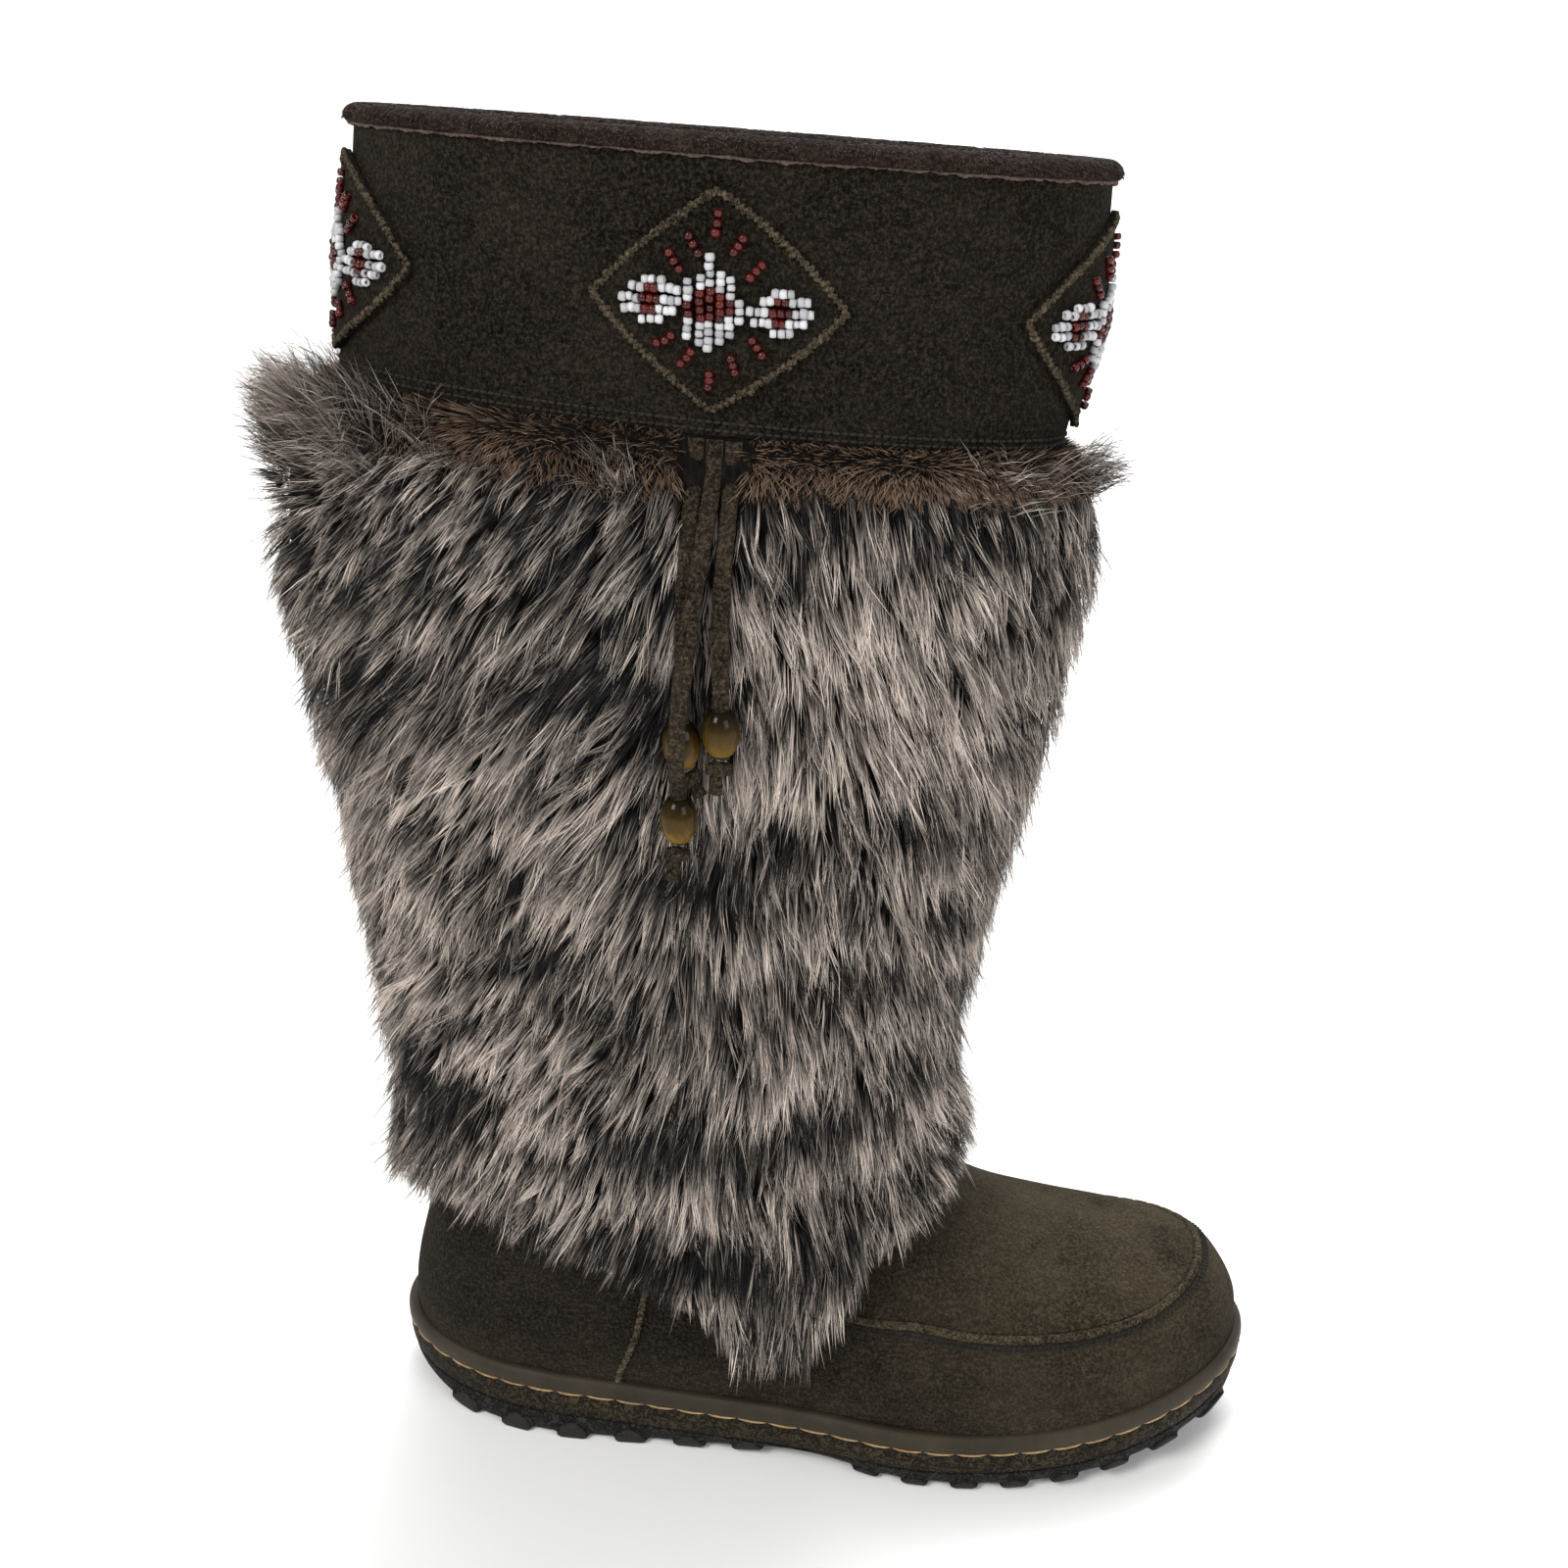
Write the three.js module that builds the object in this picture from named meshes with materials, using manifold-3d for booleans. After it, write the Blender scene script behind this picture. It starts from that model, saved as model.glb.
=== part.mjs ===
import * as THREE from 'three';
import { mergeVertices } from 'three/addons/utils/BufferGeometryUtils.js';
import Module from 'manifold-3d';

const wasm = await Module();
wasm.setup();

// A right snow boot in millimetres. X runs from heel to toe, Y to the inner side, Z up.
// Lengths along X are measured from the back of the heel, and the group shifts them to the origin.
const originFromHeel = 64;
const gap = 0.3;

// Sole plan: one row for each eighth of the length, half widths before the ends are rounded.
const soleLength = 276;
const heelRound = 64;
const toeRound = 85;
const planColumns = ['outer', 'inner', 'centre', 'flare'];
const planRows = [
  [38.6, 35.2, 0.0, 0.0],
  [39.4, 35.6, 0.0, 2.2],
  [40.5, 33.5, 0.0, 2.0],
  [42.5, 30.5, 0.0, -1.2],
  [44.7, 34.0, 0.0, -2.4],
  [49.8, 42.5, 0.6, -0.6],
  [49.6, 47.5, 2.0, 0.0],
  [50.2, 47.5, 3.7, 0.0],
  [50.0, 46.0, 5.3, 0.0],
];

// Heights of the sole's layers.
const heelSeat = 18.6;
const ballSeat = 15.9;
const heelCup = 2.1;
const toeSpring = 14.9;
const springStart = 0.66;
const heelBevel = 7;
const bevelLength = 34;
const midsoleAtHeel = 9.6;
const midsoleAtBall = 8;
const insoleDepth = 3.5;
const weltDepth = 5;

// Lugs: evenly pitched bars under heel and forefoot.
const heelLugs = { first: 26, pitch: 19, count: 6, width: 11, height: 6.2 };
const foreLugs = { first: 159, pitch: 15.6, count: 8, width: 9.4, height: 4.2 };
const treadDepth = 1.4;
const archRise = 2.2;
const archStart = 106;
const archEnd = 168;

// The last: a row for each section of the foot and shaft. back is the section's end at the sole or
// the back of the leg, front its end on the vamp or shin, outer and inner its half widths, belly
// where it is widest, low and high how square its two halves are.
const lastColumns = ['backX', 'backZ', 'frontX', 'frontZ', 'outer', 'inner', 'centre', 'belly',
  'low', 'high'];
const lastRows = [
  [274.8, 22.0, 274.8, 39.0, 0.0, 0.0, 5.3, 0.45, 3.0, 2.2],
  [273.5, 21.8, 273.5, 46.0, 8.6, 8.1, 5.2, 0.45, 3.2, 2.3],
  [269.7, 20.9, 269.7, 53.0, 16.9, 15.9, 5.1, 0.44, 3.5, 2.3],
  [263.6, 19.1, 263.6, 59.5, 24.7, 23.2, 4.8, 0.43, 3.8, 2.4],
  [255.2, 16.9, 255.2, 62.3, 31.8, 29.9, 4.4, 0.42, 4.0, 2.4],
  [244.9, 14.6, 244.9, 64.4, 37.8, 35.6, 3.9, 0.41, 4.2, 2.4],
  [230.3, 11.8, 230.3, 65.4, 43.4, 41.0, 3.1, 0.40, 4.4, 2.4],
  [211.3, 9.3, 211.3, 67.1, 47.6, 45.2, 2.2, 0.40, 4.5, 2.4],
  [189.0, 8.0, 191.0, 73.5, 49.2, 44.5, 1.2, 0.39, 4.5, 2.3],
  [158.0, 8.4, 178.0, 84.2, 46.8, 39.5, 0.3, 0.38, 4.5, 2.2],
  [125.0, 9.1, 170.0, 96.0, 43.4, 34.8, 0.0, 0.38, 4.5, 2.1],
  [88.0, 9.9, 165.5, 110.0, 42.3, 33.6, 0.0, 0.40, 4.5, 2.1],
  [55.0, 10.6, 164.0, 122.0, 41.3, 34.6, 0.0, 0.42, 4.0, 2.1],
  [30.0, 11.0, 163.8, 132.0, 40.6, 35.6, 0.0, 0.43, 3.4, 2.1],
  [13.5, 13.0, 164.2, 140.5, 40.2, 36.6, 0.0, 0.44, 2.7, 2.1],
  [5.6, 21.0, 164.8, 148.0, 40.0, 37.3, 0.0, 0.45, 2.35, 2.1],
  [4.0, 32.0, 165.8, 155.0, 40.0, 37.8, 0.0, 0.46, 2.2, 2.1],
  [6.2, 46.0, 167.3, 163.0, 40.0, 38.2, 0.0, 0.47, 2.3, 2.1],
  [10.6, 64.0, 169.8, 173.0, 40.0, 38.6, 0.0, 0.48, 2.2, 2.1],
  [14.5, 89.0, 173.5, 187.0, 40.2, 39.2, 0.0, 0.49, 2.2, 2.1],
  [16.5, 120.0, 179.0, 206.0, 40.6, 40.0, 0.0, 0.50, 2.1, 2.1],
  [13.0, 162.0, 185.5, 230.0, 41.5, 41.0, 0.0, 0.50, 2.1, 2.1],
  [6.0, 207.0, 191.8, 257.0, 42.4, 42.0, 0.0, 0.50, 2.0, 2.0],
  [0.5, 250.0, 196.0, 281.0, 43.0, 43.0, 0.0, 0.50, 2.0, 2.0],
  [-1.2, 292.0, 198.8, 299.0, 43.5, 43.5, 0.0, 0.50, 2.0, 2.0],
  [3.2, 333.0, 201.6, 316.8, 44.0, 44.0, 0.0, 0.50, 2.0, 2.0],
  [6.6, 355.0, 206.4, 339.6, 44.0, 44.0, 0.0, 0.50, 2.0, 2.0],
  [9.8, 377.0, 209.4, 362.4, 44.0, 44.0, 0.0, 0.50, 2.0, 2.0],
  [12.8, 398.5, 210.2, 385.0, 44.0, 44.0, 0.0, 0.50, 2.0, 2.0],
];
const cuffPlace = 25;
const collarPlace = 28.08;
const cuffPitch = 22;
const wall = 2.6;
const cuffStep = 1.4;
const counterStep = 1.1;
const skinTurns = 24;
const insideTurns = 24;

// Moccasin seam: the section and turn that it passes, from its end on the side to the toe.
const mocRows = [[11.2, 1.38], [9.7, 1.26], [8.8, 1.13], [7.8, 1.04], [6.9, 0.98], [5.9, 0.93], [4.9, 0.83],
  [3.9, 0.6], [3.42, 0.3], [3.3, 0]];
const mocWidth = 3.4;
const mocHeight = 1.3;

// Collar binding.
const bindingDrop = 2.4;
const bindingRise = 2.6;

// Cuff patches: each one's distance round the cuff, and its lean in mm for each mm of height, then the
// half sizes of patch and beadwork, and the beadwork's half outline rows of across, up and down.
const patches = {
  front: { arc: 1, lean: 0 },
  outer: { arc: 109.5, lean: 0.09 },
  back: { arc: 224, lean: 0 },
  inner: { arc: 357, lean: -0.09 },
};
const patchWide = 32;
const patchHigh = 26.5;
const patchCorner = 1.12;
const patchRim = 0.9;
const patchDepth = 1.6;
const patchGap = 0.6;
const beadDepth = 1.9;
const beadRows = [[0, 11.5, -11.5], [4, 7.2, -8], [7.4, 3.6, -4.4], [9.2, 2.2, -2.2], [13, 4.9, -4.9],
  [18, 4.9, -4.9], [23.6, 1.2, -1.2]];

// Fur: how deep the pile is at places along the leg, and how much deeper at the front and back.
const pileColumns = ['place', 'side', 'front', 'back'];
const pileRows = [
  [8.6, 8, 4, 0],
  [9.6, 13, 5, 0],
  [10.8, 14.5, 5, 0],
  [12.5, 15, 4, -2],
  [14.5, 15, 4, -2],
  [16.5, 15, 4, -1],
  [18.3, 15, 4, 1],
  [20, 15, 4, 3],
  [22, 15.5, 4, 5],
  [23.8, 15.5, 4, 11],
  [24.7, 11.5, 2, 14],
  [25.2, 6, 0, 11],
  [25.02, 2.2, 0, 0],
];
const hemRows = [[-80, 98], [4, 84], [28, 87], [50, 80], [75, 71], [110, 69], [150, 73], [190, 87],
  [280, 114]];
const lockRows = 5;
const locksRound = 11;
const lockLength = 34;
const lockWidth = 20;
const lockLift = 4;
const furTurns = 20;
const pileLean = 0.35;
const tuftRows = [[-0.98, 20], [-1.1, 26], [-1.22, 30], [-1.34, 26], [-1.46, 20]];

// Tassel: thong routes from under the cuff to the knots, and where beads and knots sit.
const thongWidth = 4.4;
const thongDepth = 1.5;
const beadWide = 9.8;
const beadHigh = 13.6;
const beadBore = 5.4;
const thongMiddleX = 114.8;
const thongSpread = 9.4;
const tassel = {
  left: {
    route: [[110.0, -45.2, 323.6], [109.8, -47.5, 314.5], [109.6, -54.6, 303.0], [109.2, -60.2, 289.0],
      [108.8, -61.8, 274.0], [108.5, -63.6, 260.0], [108.5, -64.2, 252.0], [108.5, -64.2, 244.0],
      [108.7, -63.8, 241.4]],
    bead: [108.5, -64.2, 248.2],
    knot: [109.3, -63.2, 240.2],
    tail: [112.8, 233.5],
  },
  middle: {
    route: [[114.9, -45.2, 323.2], [114.7, -48.0, 314.0], [114.2, -56.8, 303.0], [112.4, -62.8, 289.0],
      [110.6, -67.0, 273.0], [109.0, -70.6, 258.0], [108.2, -71.0, 248.0], [107.8, -69.0, 242.0],
      [107.7, -66.2, 236.4], [107.6, -65.7, 232.0], [107.6, -65.7, 226.0], [107.6, -65.6, 220.9]],
    bead: [107.6, -65.7, 228.0],
    knot: [107.4, -65.6, 220.0],
    tail: [105.0, 210.4],
  },
  right: {
    route: [[119.8, -45.1, 322.8], [119.6, -47.5, 313.5], [119.2, -55.0, 302.0], [118.7, -60.2, 288.0],
      [118.6, -62.4, 273.0], [118.8, -64.2, 262.0], [118.8, -64.6, 254.0], [118.8, -64.6, 244.8]],
    bead: [118.8, -64.6, 252.0],
    knot: [118.6, -64.6, 244.0],
    tail: [116.6, 235.0],
  },
};
const knotRows = [[0, 1.9, 0.8], [0.6, 3.2, 1.6], [3.6, 3.3, 1.7], [4.3, 2.0, 0.8], [9.6, 2.3, 0.7]];

// Smooth value of one column between rows, and straight on past the last row.
function columnAt(rows, column, place) {
  const last = rows.length - 1;
  const row = Math.max(0, Math.min(Math.floor(place), last - 1));
  const t = place - row;
  const b = rows[row][column];
  const c = rows[row + 1][column];
  if (place >= last) return b + t * (c - b);
  const a = row > 0 ? rows[row - 1][column] : 2 * b - c;
  const d = row + 2 <= last ? rows[row + 2][column] : 2 * c - b;
  return b + 0.5 * t * (c - a + t * (2 * a - 5 * b + 4 * c - d + t * (3 * (b - c) + d - a)));
}

// One point of the last's surface. The turn is 0 at the front, a quarter at the inner side.
function lastPoint(place, turn) {
  const value = (name) => columnAt(lastRows, lastColumns.indexOf(name), place);
  const lengthwise = Math.cos(turn);
  const widthwise = Math.sin(turn);
  const square = value(lengthwise > 0 ? 'high' : 'low');
  const radius = (Math.abs(lengthwise) ** square + Math.abs(widthwise) ** square) ** (-1 / square);
  const belly = value('belly');
  const along = belly + lengthwise * radius * (lengthwise > 0 ? 1 - belly : belly);
  const half = value(widthwise > 0 ? 'inner' : 'outer');
  return new THREE.Vector3(
    value('backX') + along * (value('frontX') - value('backX')),
    value('centre') + widthwise * radius * Math.max(half, 0),
    value('backZ') + along * (value('frontZ') - value('backZ')),
  );
}

// The same point moved out along the surface's normal by a distance.
function skinPoint(place, turn, grow) {
  const point = lastPoint(place, turn);
  const step = 0.02;
  const foot = Math.max(place, 0.15);
  const up = lastPoint(foot + step, turn).sub(lastPoint(foot - step, turn));
  const round = lastPoint(foot, turn + step).sub(lastPoint(foot, turn - step));
  return point.addScaledVector(round.cross(up).normalize(), grow);
}

// Closed mesh through rings of points: the sides, and caps that join points across each end ring.
function loft(rings) {
  const count = rings[0].length;
  const half = count / 2;
  const positions = rings.flat().flatMap((point) => [point.x, point.y, point.z]);
  const faces = [];
  for (let level = 0; level < rings.length - 1; level += 1) {
    for (let i = 0; i < count; i += 1) {
      const next = (i + 1) % count;
      const low = level * count;
      const high = low + count;
      faces.push([low + i, low + next, high + next], [low + i, high + next, high + i]);
    }
  }
  const top = (rings.length - 1) * count;
  for (let i = 0; i < half; i += 1) {
    const across = (count - i) % count;
    const acrossNext = count - i - 1;
    if (i > 0) faces.push([across, i + 1, i], [top + i, top + i + 1, top + across]);
    if (i < half - 1) faces.push([across, acrossNext, i + 1], [top + across, top + i + 1, top + acrossNext]);
  }
  return solidOf(positions, faces);
}

// Closed ring of equal sections, joined section to section and back to the first.
function hoop(sections) {
  const size = sections[0].length;
  const positions = sections.flat().flatMap((point) => [point.x, point.y, point.z]);
  const faces = [];
  for (let i = 0; i < sections.length; i += 1) {
    const here = i * size;
    const there = ((i + 1) % sections.length) * size;
    for (let k = 0; k < size; k += 1) {
      const next = (k + 1) % size;
      faces.push([here + k, there + k, there + next], [here + k, there + next, here + next]);
    }
  }
  return solidOf(positions, faces);
}

function solidOf(positions, faces) {
  const mesh = new wasm.Mesh({
    numProp: 3,
    vertProperties: new Float32Array(positions),
    triVerts: new Uint32Array(faces.flat()),
  });
  mesh.merge();
  const solid = new wasm.Manifold(mesh);
  return solid;
}

function solidFromGeometry(geometry) {
  const bare = geometry.index ? geometry.toNonIndexed() : geometry.clone();
  bare.deleteAttribute('normal');
  bare.deleteAttribute('uv');
  const merged = mergeVertices(bare, 1e-4);
  return solidOf(Array.from(merged.attributes.position.array), [Array.from(merged.index.array)]);
}

// Skin of the last through chosen stations, each with its own distance from the surface.
function skinSolid(stations, turns = skinTurns) {
  return loft(stations.map(([place, grow]) => {
    const ring = [];
    for (let i = 0; i < turns; i += 1) ring.push(skinPoint(place, (2 * Math.PI * i) / turns, grow));
    return ring;
  }));
}

function stationsBetween(from, to, count, grow) {
  const stations = [];
  for (let i = 0; i <= count; i += 1) stations.push([from + ((to - from) * i) / count, grow]);
  return stations;
}

// Prism with a side outline in X and Z, reaching through the boot from side to side.
function sidePrism(outline) {
  const shape = new THREE.Shape(outline.map(([x, z]) => new THREE.Vector2(x, z)));
  const reach = 240;
  const geometry = new THREE.ExtrudeGeometry(shape, { depth: reach, bevelEnabled: false });
  geometry.rotateX(Math.PI / 2);
  geometry.translate(0, reach / 2, 0);
  return solidFromGeometry(geometry);
}

// Sole plan.
function roundedEnds(x) {
  const heel = Math.max(0, (heelRound - x) / heelRound);
  const toe = Math.max(0, (x - soleLength + toeRound) / toeRound);
  return Math.sqrt(Math.max(0, 1 - heel * heel - toe * toe));
}

function planPoint(turn) {
  const x = (soleLength * (1 - Math.cos(turn))) / 2;
  const place = (x / soleLength) * (planRows.length - 1);
  const value = (name) => columnAt(planRows, planColumns.indexOf(name), place);
  const side = Math.sin(turn) >= 0 ? -value('outer') : value('inner');
  return new THREE.Vector2(x, value('centre') * Math.min(1, x / 140) + side * roundedEnds(x));
}

function planRing(grow, heightAt, flared = 0, count = 40) {
  const ring = [];
  const step = 0.01;
  for (let i = 0; i < count; i += 1) {
    const turn = (2 * Math.PI * i) / count;
    const point = planPoint(turn);
    const along = planPoint(turn + step).sub(planPoint(turn - step)).normalize();
    const reach = grow + flared * columnAt(planRows, planColumns.indexOf('flare'), (point.x / soleLength) * 8);
    const x = point.x + along.y * reach;
    const y = point.y - along.x * reach;
    ring.push(new THREE.Vector3(x, y, heightAt(x)));
  }
  return ring;
}

// Heights along the sole.
const spring = (x) => toeSpring * Math.max(0, (x / soleLength - springStart) / (1 - springStart)) ** 2;
const bevel = (x) => heelBevel * Math.max(0, (bevelLength - x) / bevelLength) ** 2;
const towardsBall = (x) => Math.min(1, Math.max(0, (x / soleLength - 0.2) / 0.45));
const seatHeight = (x) => heelSeat - (heelSeat - ballSeat) * towardsBall(x) + spring(x)
  + heelCup * Math.max(0, 1 - x / (0.15 * soleLength)) ** 2;
const arch = (x) => (x > archStart && x < archEnd
  ? archRise * Math.sin((Math.PI * (x - archStart)) / (archEnd - archStart)) ** 2 : 0);
const treadHeight = (x) => spring(x) + bevel(x) + arch(x);
const splitHeight = (x) => seatHeight(x) - midsoleAtHeel + (midsoleAtHeel - midsoleAtBall) * towardsBall(x);
const raised = (heightAt, rise) => (x) => heightAt(x) + rise;

function outsole() {
  const slab = loft([
    planRing(-2.8, raised(treadHeight, treadDepth), 1),
    planRing(-0.6, (x) => (treadHeight(x) + treadDepth) * 0.45 + splitHeight(x) * 0.55, 0.6),
    planRing(0, splitHeight),
  ]);
  const lugRoom = loft([
    planRing(-2.4, raised(treadHeight, -1), 1),
    planRing(-0.4, raised(treadHeight, treadDepth + 2.4), 0.8),
    planRing(0.8, raised(treadHeight, treadDepth + 5.2), 0.4),
  ]);
  const bars = [];
  for (const group of [heelLugs, foreLugs]) {
    for (let i = 0; i < group.count; i += 1) bars.push(lugBar(group.first + group.pitch * i, group));
  }
  return slab.add(wasm.Manifold.union(bars).intersect(lugRoom));
}

// Bar across the sole: flat under the tread, its top a round arch that shows on the sole's side.
function lugBar(middle, { width, height }) {
  const start = middle - width / 2;
  const end = middle + width / 2;
  const outline = [[start, treadHeight(start)], [end, treadHeight(end)]];
  for (let k = 1; k < 5; k += 1) {
    const turn = (Math.PI * k) / 5;
    outline.push([middle + (width / 2) * Math.cos(turn), treadHeight(middle) + height * Math.sin(turn)]);
  }
  return sidePrism(outline);
}

function midsole() {
  return loft([
    planRing(-0.2, raised(splitHeight, gap)),
    planRing(1.0, (x) => splitHeight(x) * 0.6 + seatHeight(x) * 0.4),
    planRing(0, seatHeight),
  ]);
}

function welt() {
  const body = loft([
    planRing(0.4, raised(seatHeight, gap)),
    planRing(1.3, raised(seatHeight, 1.8)),
    planRing(0.8, raised(seatHeight, 3.7)),
    planRing(-0.9, raised(seatHeight, weltDepth)),
  ]);
  return body.subtract(skinSolid(footStations(gap)).add(counterOverlay(gap)));
}

function insole() {
  const slab = loft([
    planRing(0, raised(seatHeight, gap)),
    planRing(0, raised(seatHeight, gap + insoleDepth)),
  ]);
  return slab.intersect(skinSolid(insideStations(-wall - gap), insideTurns));
}

// Heel panel: the skin of the heel, thicker by one layer, in front of nothing but the back of the boot.
function counterOverlay(extra) {
  const side = sidePrism([[-30, -20], [77.5 + extra, -20], [79.5 + extra, 27], [84 + extra, 43],
    [88 + extra, 60], [88 + extra, 70 + extra], [-30, 70 + extra]]);
  return skinSolid(stationsBetween(8.7, 19, 12, counterStep + extra)).intersect(side);
}

function footStations(grow) {
  return [...stationsBetween(0.12, 8, 9, grow), ...stationsBetween(8.7, 19, 12, grow)];
}

function insideStations(grow) {
  return [...stationsBetween(0.12, 8, 6, grow), ...stationsBetween(9.2, 19, 9, grow)];
}

function upperOuter(extra) {
  const shaft = stationsBetween(20, cuffPlace, 5, extra);
  const cuff = stationsBetween(cuffPlace + 0.01, collarPlace, 3, extra + cuffStep);
  return skinSolid([...footStations(extra), ...shaft, ...cuff]);
}

function upper() {
  const shaft = stationsBetween(20.7, collarPlace + 0.6, 4, -wall);
  const inside = skinSolid([...insideStations(-wall), ...shaft], insideTurns);
  const belowFoot = loft([
    planRing(9, () => -40),
    planRing(9, raised(seatHeight, gap)),
  ]);
  return upperOuter(0).add(counterOverlay(0)).add(mocSeam()).subtract(inside).subtract(belowFoot);
}

// Raised moccasin seam: a rounded cord laid along the skin, round the toe from side to side.
function mocSeam() {
  const rings = [];
  const steps = 24;
  for (let i = 0; i <= steps; i += 1) {
    const across = (2 * i) / steps - 1;
    const row = (1 - Math.abs(across)) * (mocRows.length - 1);
    const place = columnAt(mocRows, 0, row);
    const turn = -Math.sign(across) * columnAt(mocRows, 1, row);
    const here = skinPoint(place, turn, 0);
    const out = skinPoint(place, turn, 1).sub(here);
    rings.push({ here, out });
  }
  return loft(rings.map(({ here, out }, i) => {
    const before = rings[Math.max(i - 1, 0)].here;
    const after = rings[Math.min(i + 1, steps)].here;
    const travel = after.clone().sub(before).normalize();
    const side = out.clone().cross(travel).normalize();
    return ovalRing(here, side, out, mocWidth / 2, mocHeight, 6);
  }));
}

// Ring of points round a centre, wide along one direction and deep along the other.
function ovalRing(centre, wideWay, deepWay, wide, deep, count) {
  const ring = [];
  for (let i = 0; i < count; i += 1) {
    const turn = (2 * Math.PI * i) / count;
    ring.push(centre.clone()
      .addScaledVector(wideWay, wide * Math.cos(turn))
      .addScaledVector(deepWay, deep * Math.sin(turn)));
  }
  return ring;
}

// Rolled binding: a U section that covers the top edge of the cuff all round.
function collarBinding() {
  const inside = -wall - gap;
  const outside = cuffStep + gap;
  const section = [
    [outside, -bindingDrop], [outside + 1.8, -bindingDrop + 0.6], [outside + 2.2, -bindingDrop + 1.3],
    [outside + 1.5, 1.1], [-0.6, bindingRise], [inside - 1.5, 1.1], [inside - 2.2, -bindingDrop + 1.3],
    [inside, -bindingDrop], [inside, gap], [outside, gap],
  ];
  const sections = [];
  const turns = 24;
  for (let i = 0; i < turns; i += 1) {
    const turn = (2 * Math.PI * i) / turns;
    sections.push(section.map(([grow, rise]) => skinPoint(collarPlace + rise / cuffPitch, turn, grow)));
  }
  return hoop(sections);
}

// Point on the cuff: arc is the distance round it from the front, towards the outer side first.
const cuffMiddle = 26.45;
const cuffArcs = [];
function cuffPoint(arc, rise, grow) {
  const samples = 180;
  if (cuffArcs.length === 0) {
    cuffArcs.push(0);
    for (let i = 1; i <= samples; i += 1) {
      const from = lastPoint(cuffMiddle, (-2 * Math.PI * (i - 1)) / samples);
      const to = lastPoint(cuffMiddle, (-2 * Math.PI * i) / samples);
      cuffArcs.push(cuffArcs[i - 1] + from.distanceTo(to));
    }
  }
  const round = cuffArcs[samples];
  const wanted = ((arc % round) + round) % round;
  const index = cuffArcs.findIndex((value, i) => i > 0 && value >= wanted);
  const share = (wanted - cuffArcs[index - 1]) / (cuffArcs[index] - cuffArcs[index - 1]);
  const turn = (-2 * Math.PI * (index - 1 + share)) / samples;
  return skinPoint(cuffMiddle + rise / cuffPitch, turn, grow);
}

// Suede diamond with rounded corners, its edges sloping back to the cuff.
function patch({ arc: centreArc, lean }) {
  const rings = [];
  const steps = 12;
  for (let i = 0; i <= steps; i += 1) {
    const across = (2 * i) / steps - 1;
    const high = patchHigh * (1 - Math.abs(across) ** patchCorner) ** (1 / patchCorner) + 0.5;
    const rim = Math.min(patchRim, high * 0.4);
    const outline = [[-high, 0.5], [-high + rim, patchDepth], [0, patchDepth], [high - rim, patchDepth],
      [high, 0.5], [high - rim, 0], [0, 0], [-high + rim, 0]];
    const arc = centreArc + across * patchWide;
    rings.push(outline.map(([rise, lift]) => (
      cuffPoint(arc + lean * rise, rise, cuffStep + patchGap + lift))));
  }
  return loft(rings);
}

// Beaded cross: a pointed oval in the middle with a wing on each side, one low relief.
function beadwork({ arc: centreArc, lean }) {
  const base = cuffStep + patchGap + patchDepth + gap;
  const rings = [];
  for (let row = -beadRows.length + 1; row < beadRows.length; row += 1) {
    const [across, up, down] = beadRows[Math.abs(row)];
    const outline = [[down, 0], [down * 0.75, beadDepth], [up * 0.75, beadDepth], [up, 0]];
    const arc = centreArc + Math.sign(row) * across;
    rings.push(outline.map(([rise, lift]) => cuffPoint(arc + lean * rise, rise, base + lift)));
  }
  return loft(rings);
}

// Fur: a sleeve with its pile depth along the leg, locks fused on, open to the leg inside.
const hemHeight = (x) => {
  const row = hemRows.findIndex(([at], i) => i > 0 && at >= x);
  const [[fromX, fromZ], [toX, toZ]] = [hemRows[row - 1], hemRows[row]];
  return fromZ + ((x - fromX) / (toX - fromX)) * (toZ - fromZ);
};

function depthAt(row, turn) {
  const value = (name) => columnAt(pileRows, pileColumns.indexOf(name), row);
  const ends = Math.cos(turn);
  return value('side') + (ends > 0 ? value('front') : value('back')) * ends * ends;
}

function pileDepth(place, turn) {
  const row = pileRows.findIndex(([at], i) => i > 0 && at >= place);
  const share = (place - pileRows[row - 1][0]) / (pileRows[row][0] - pileRows[row - 1][0]);
  return depthAt(row - 1 + share, turn);
}

// Place where the pile's surface meets the hem.
function hemPlace(turn) {
  let place = 9;
  while (place < 20) {
    const point = skinPoint(place, turn, pileDepth(place, turn));
    if (point.z > hemHeight(point.x)) return place;
    place += 0.1;
  }
  return place;
}

const chance = (seed) => {
  const value = Math.sin(seed * 12.9898 + 4.1) * 43758.5453;
  return value - Math.floor(value);
};

// One lock: a flat tapering tuft that leaves the pile and hangs down along it.
function lock(place, turn, length, width, sunk) {
  const depth = pileDepth(place, turn) - sunk;
  const here = skinPoint(place, turn, depth);
  const out = skinPoint(place, turn, depth + 1).sub(here);
  const down = new THREE.Vector3(here.y < 0 && here.x < thongMiddleX ? -pileLean : 0.05, 0, -1);
  const way = down.addScaledVector(out, -down.dot(out)).normalize();
  const wide = out.clone().cross(way).normalize();
  const middle = here.clone().addScaledVector(way, length * 0.45).addScaledVector(out, lockLift * 0.62);
  const tip = here.clone().addScaledVector(way, length).addScaledVector(out, lockLift);
  return loft([
    ovalRing(here.clone().addScaledVector(out, -3), wide, out, width * 0.42, 3, 4),
    ovalRing(middle, wide, out, width * 0.5, 3.2, 4),
    ovalRing(tip, wide, out, width * 0.08, 0.7, 4),
  ]);
}

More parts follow.
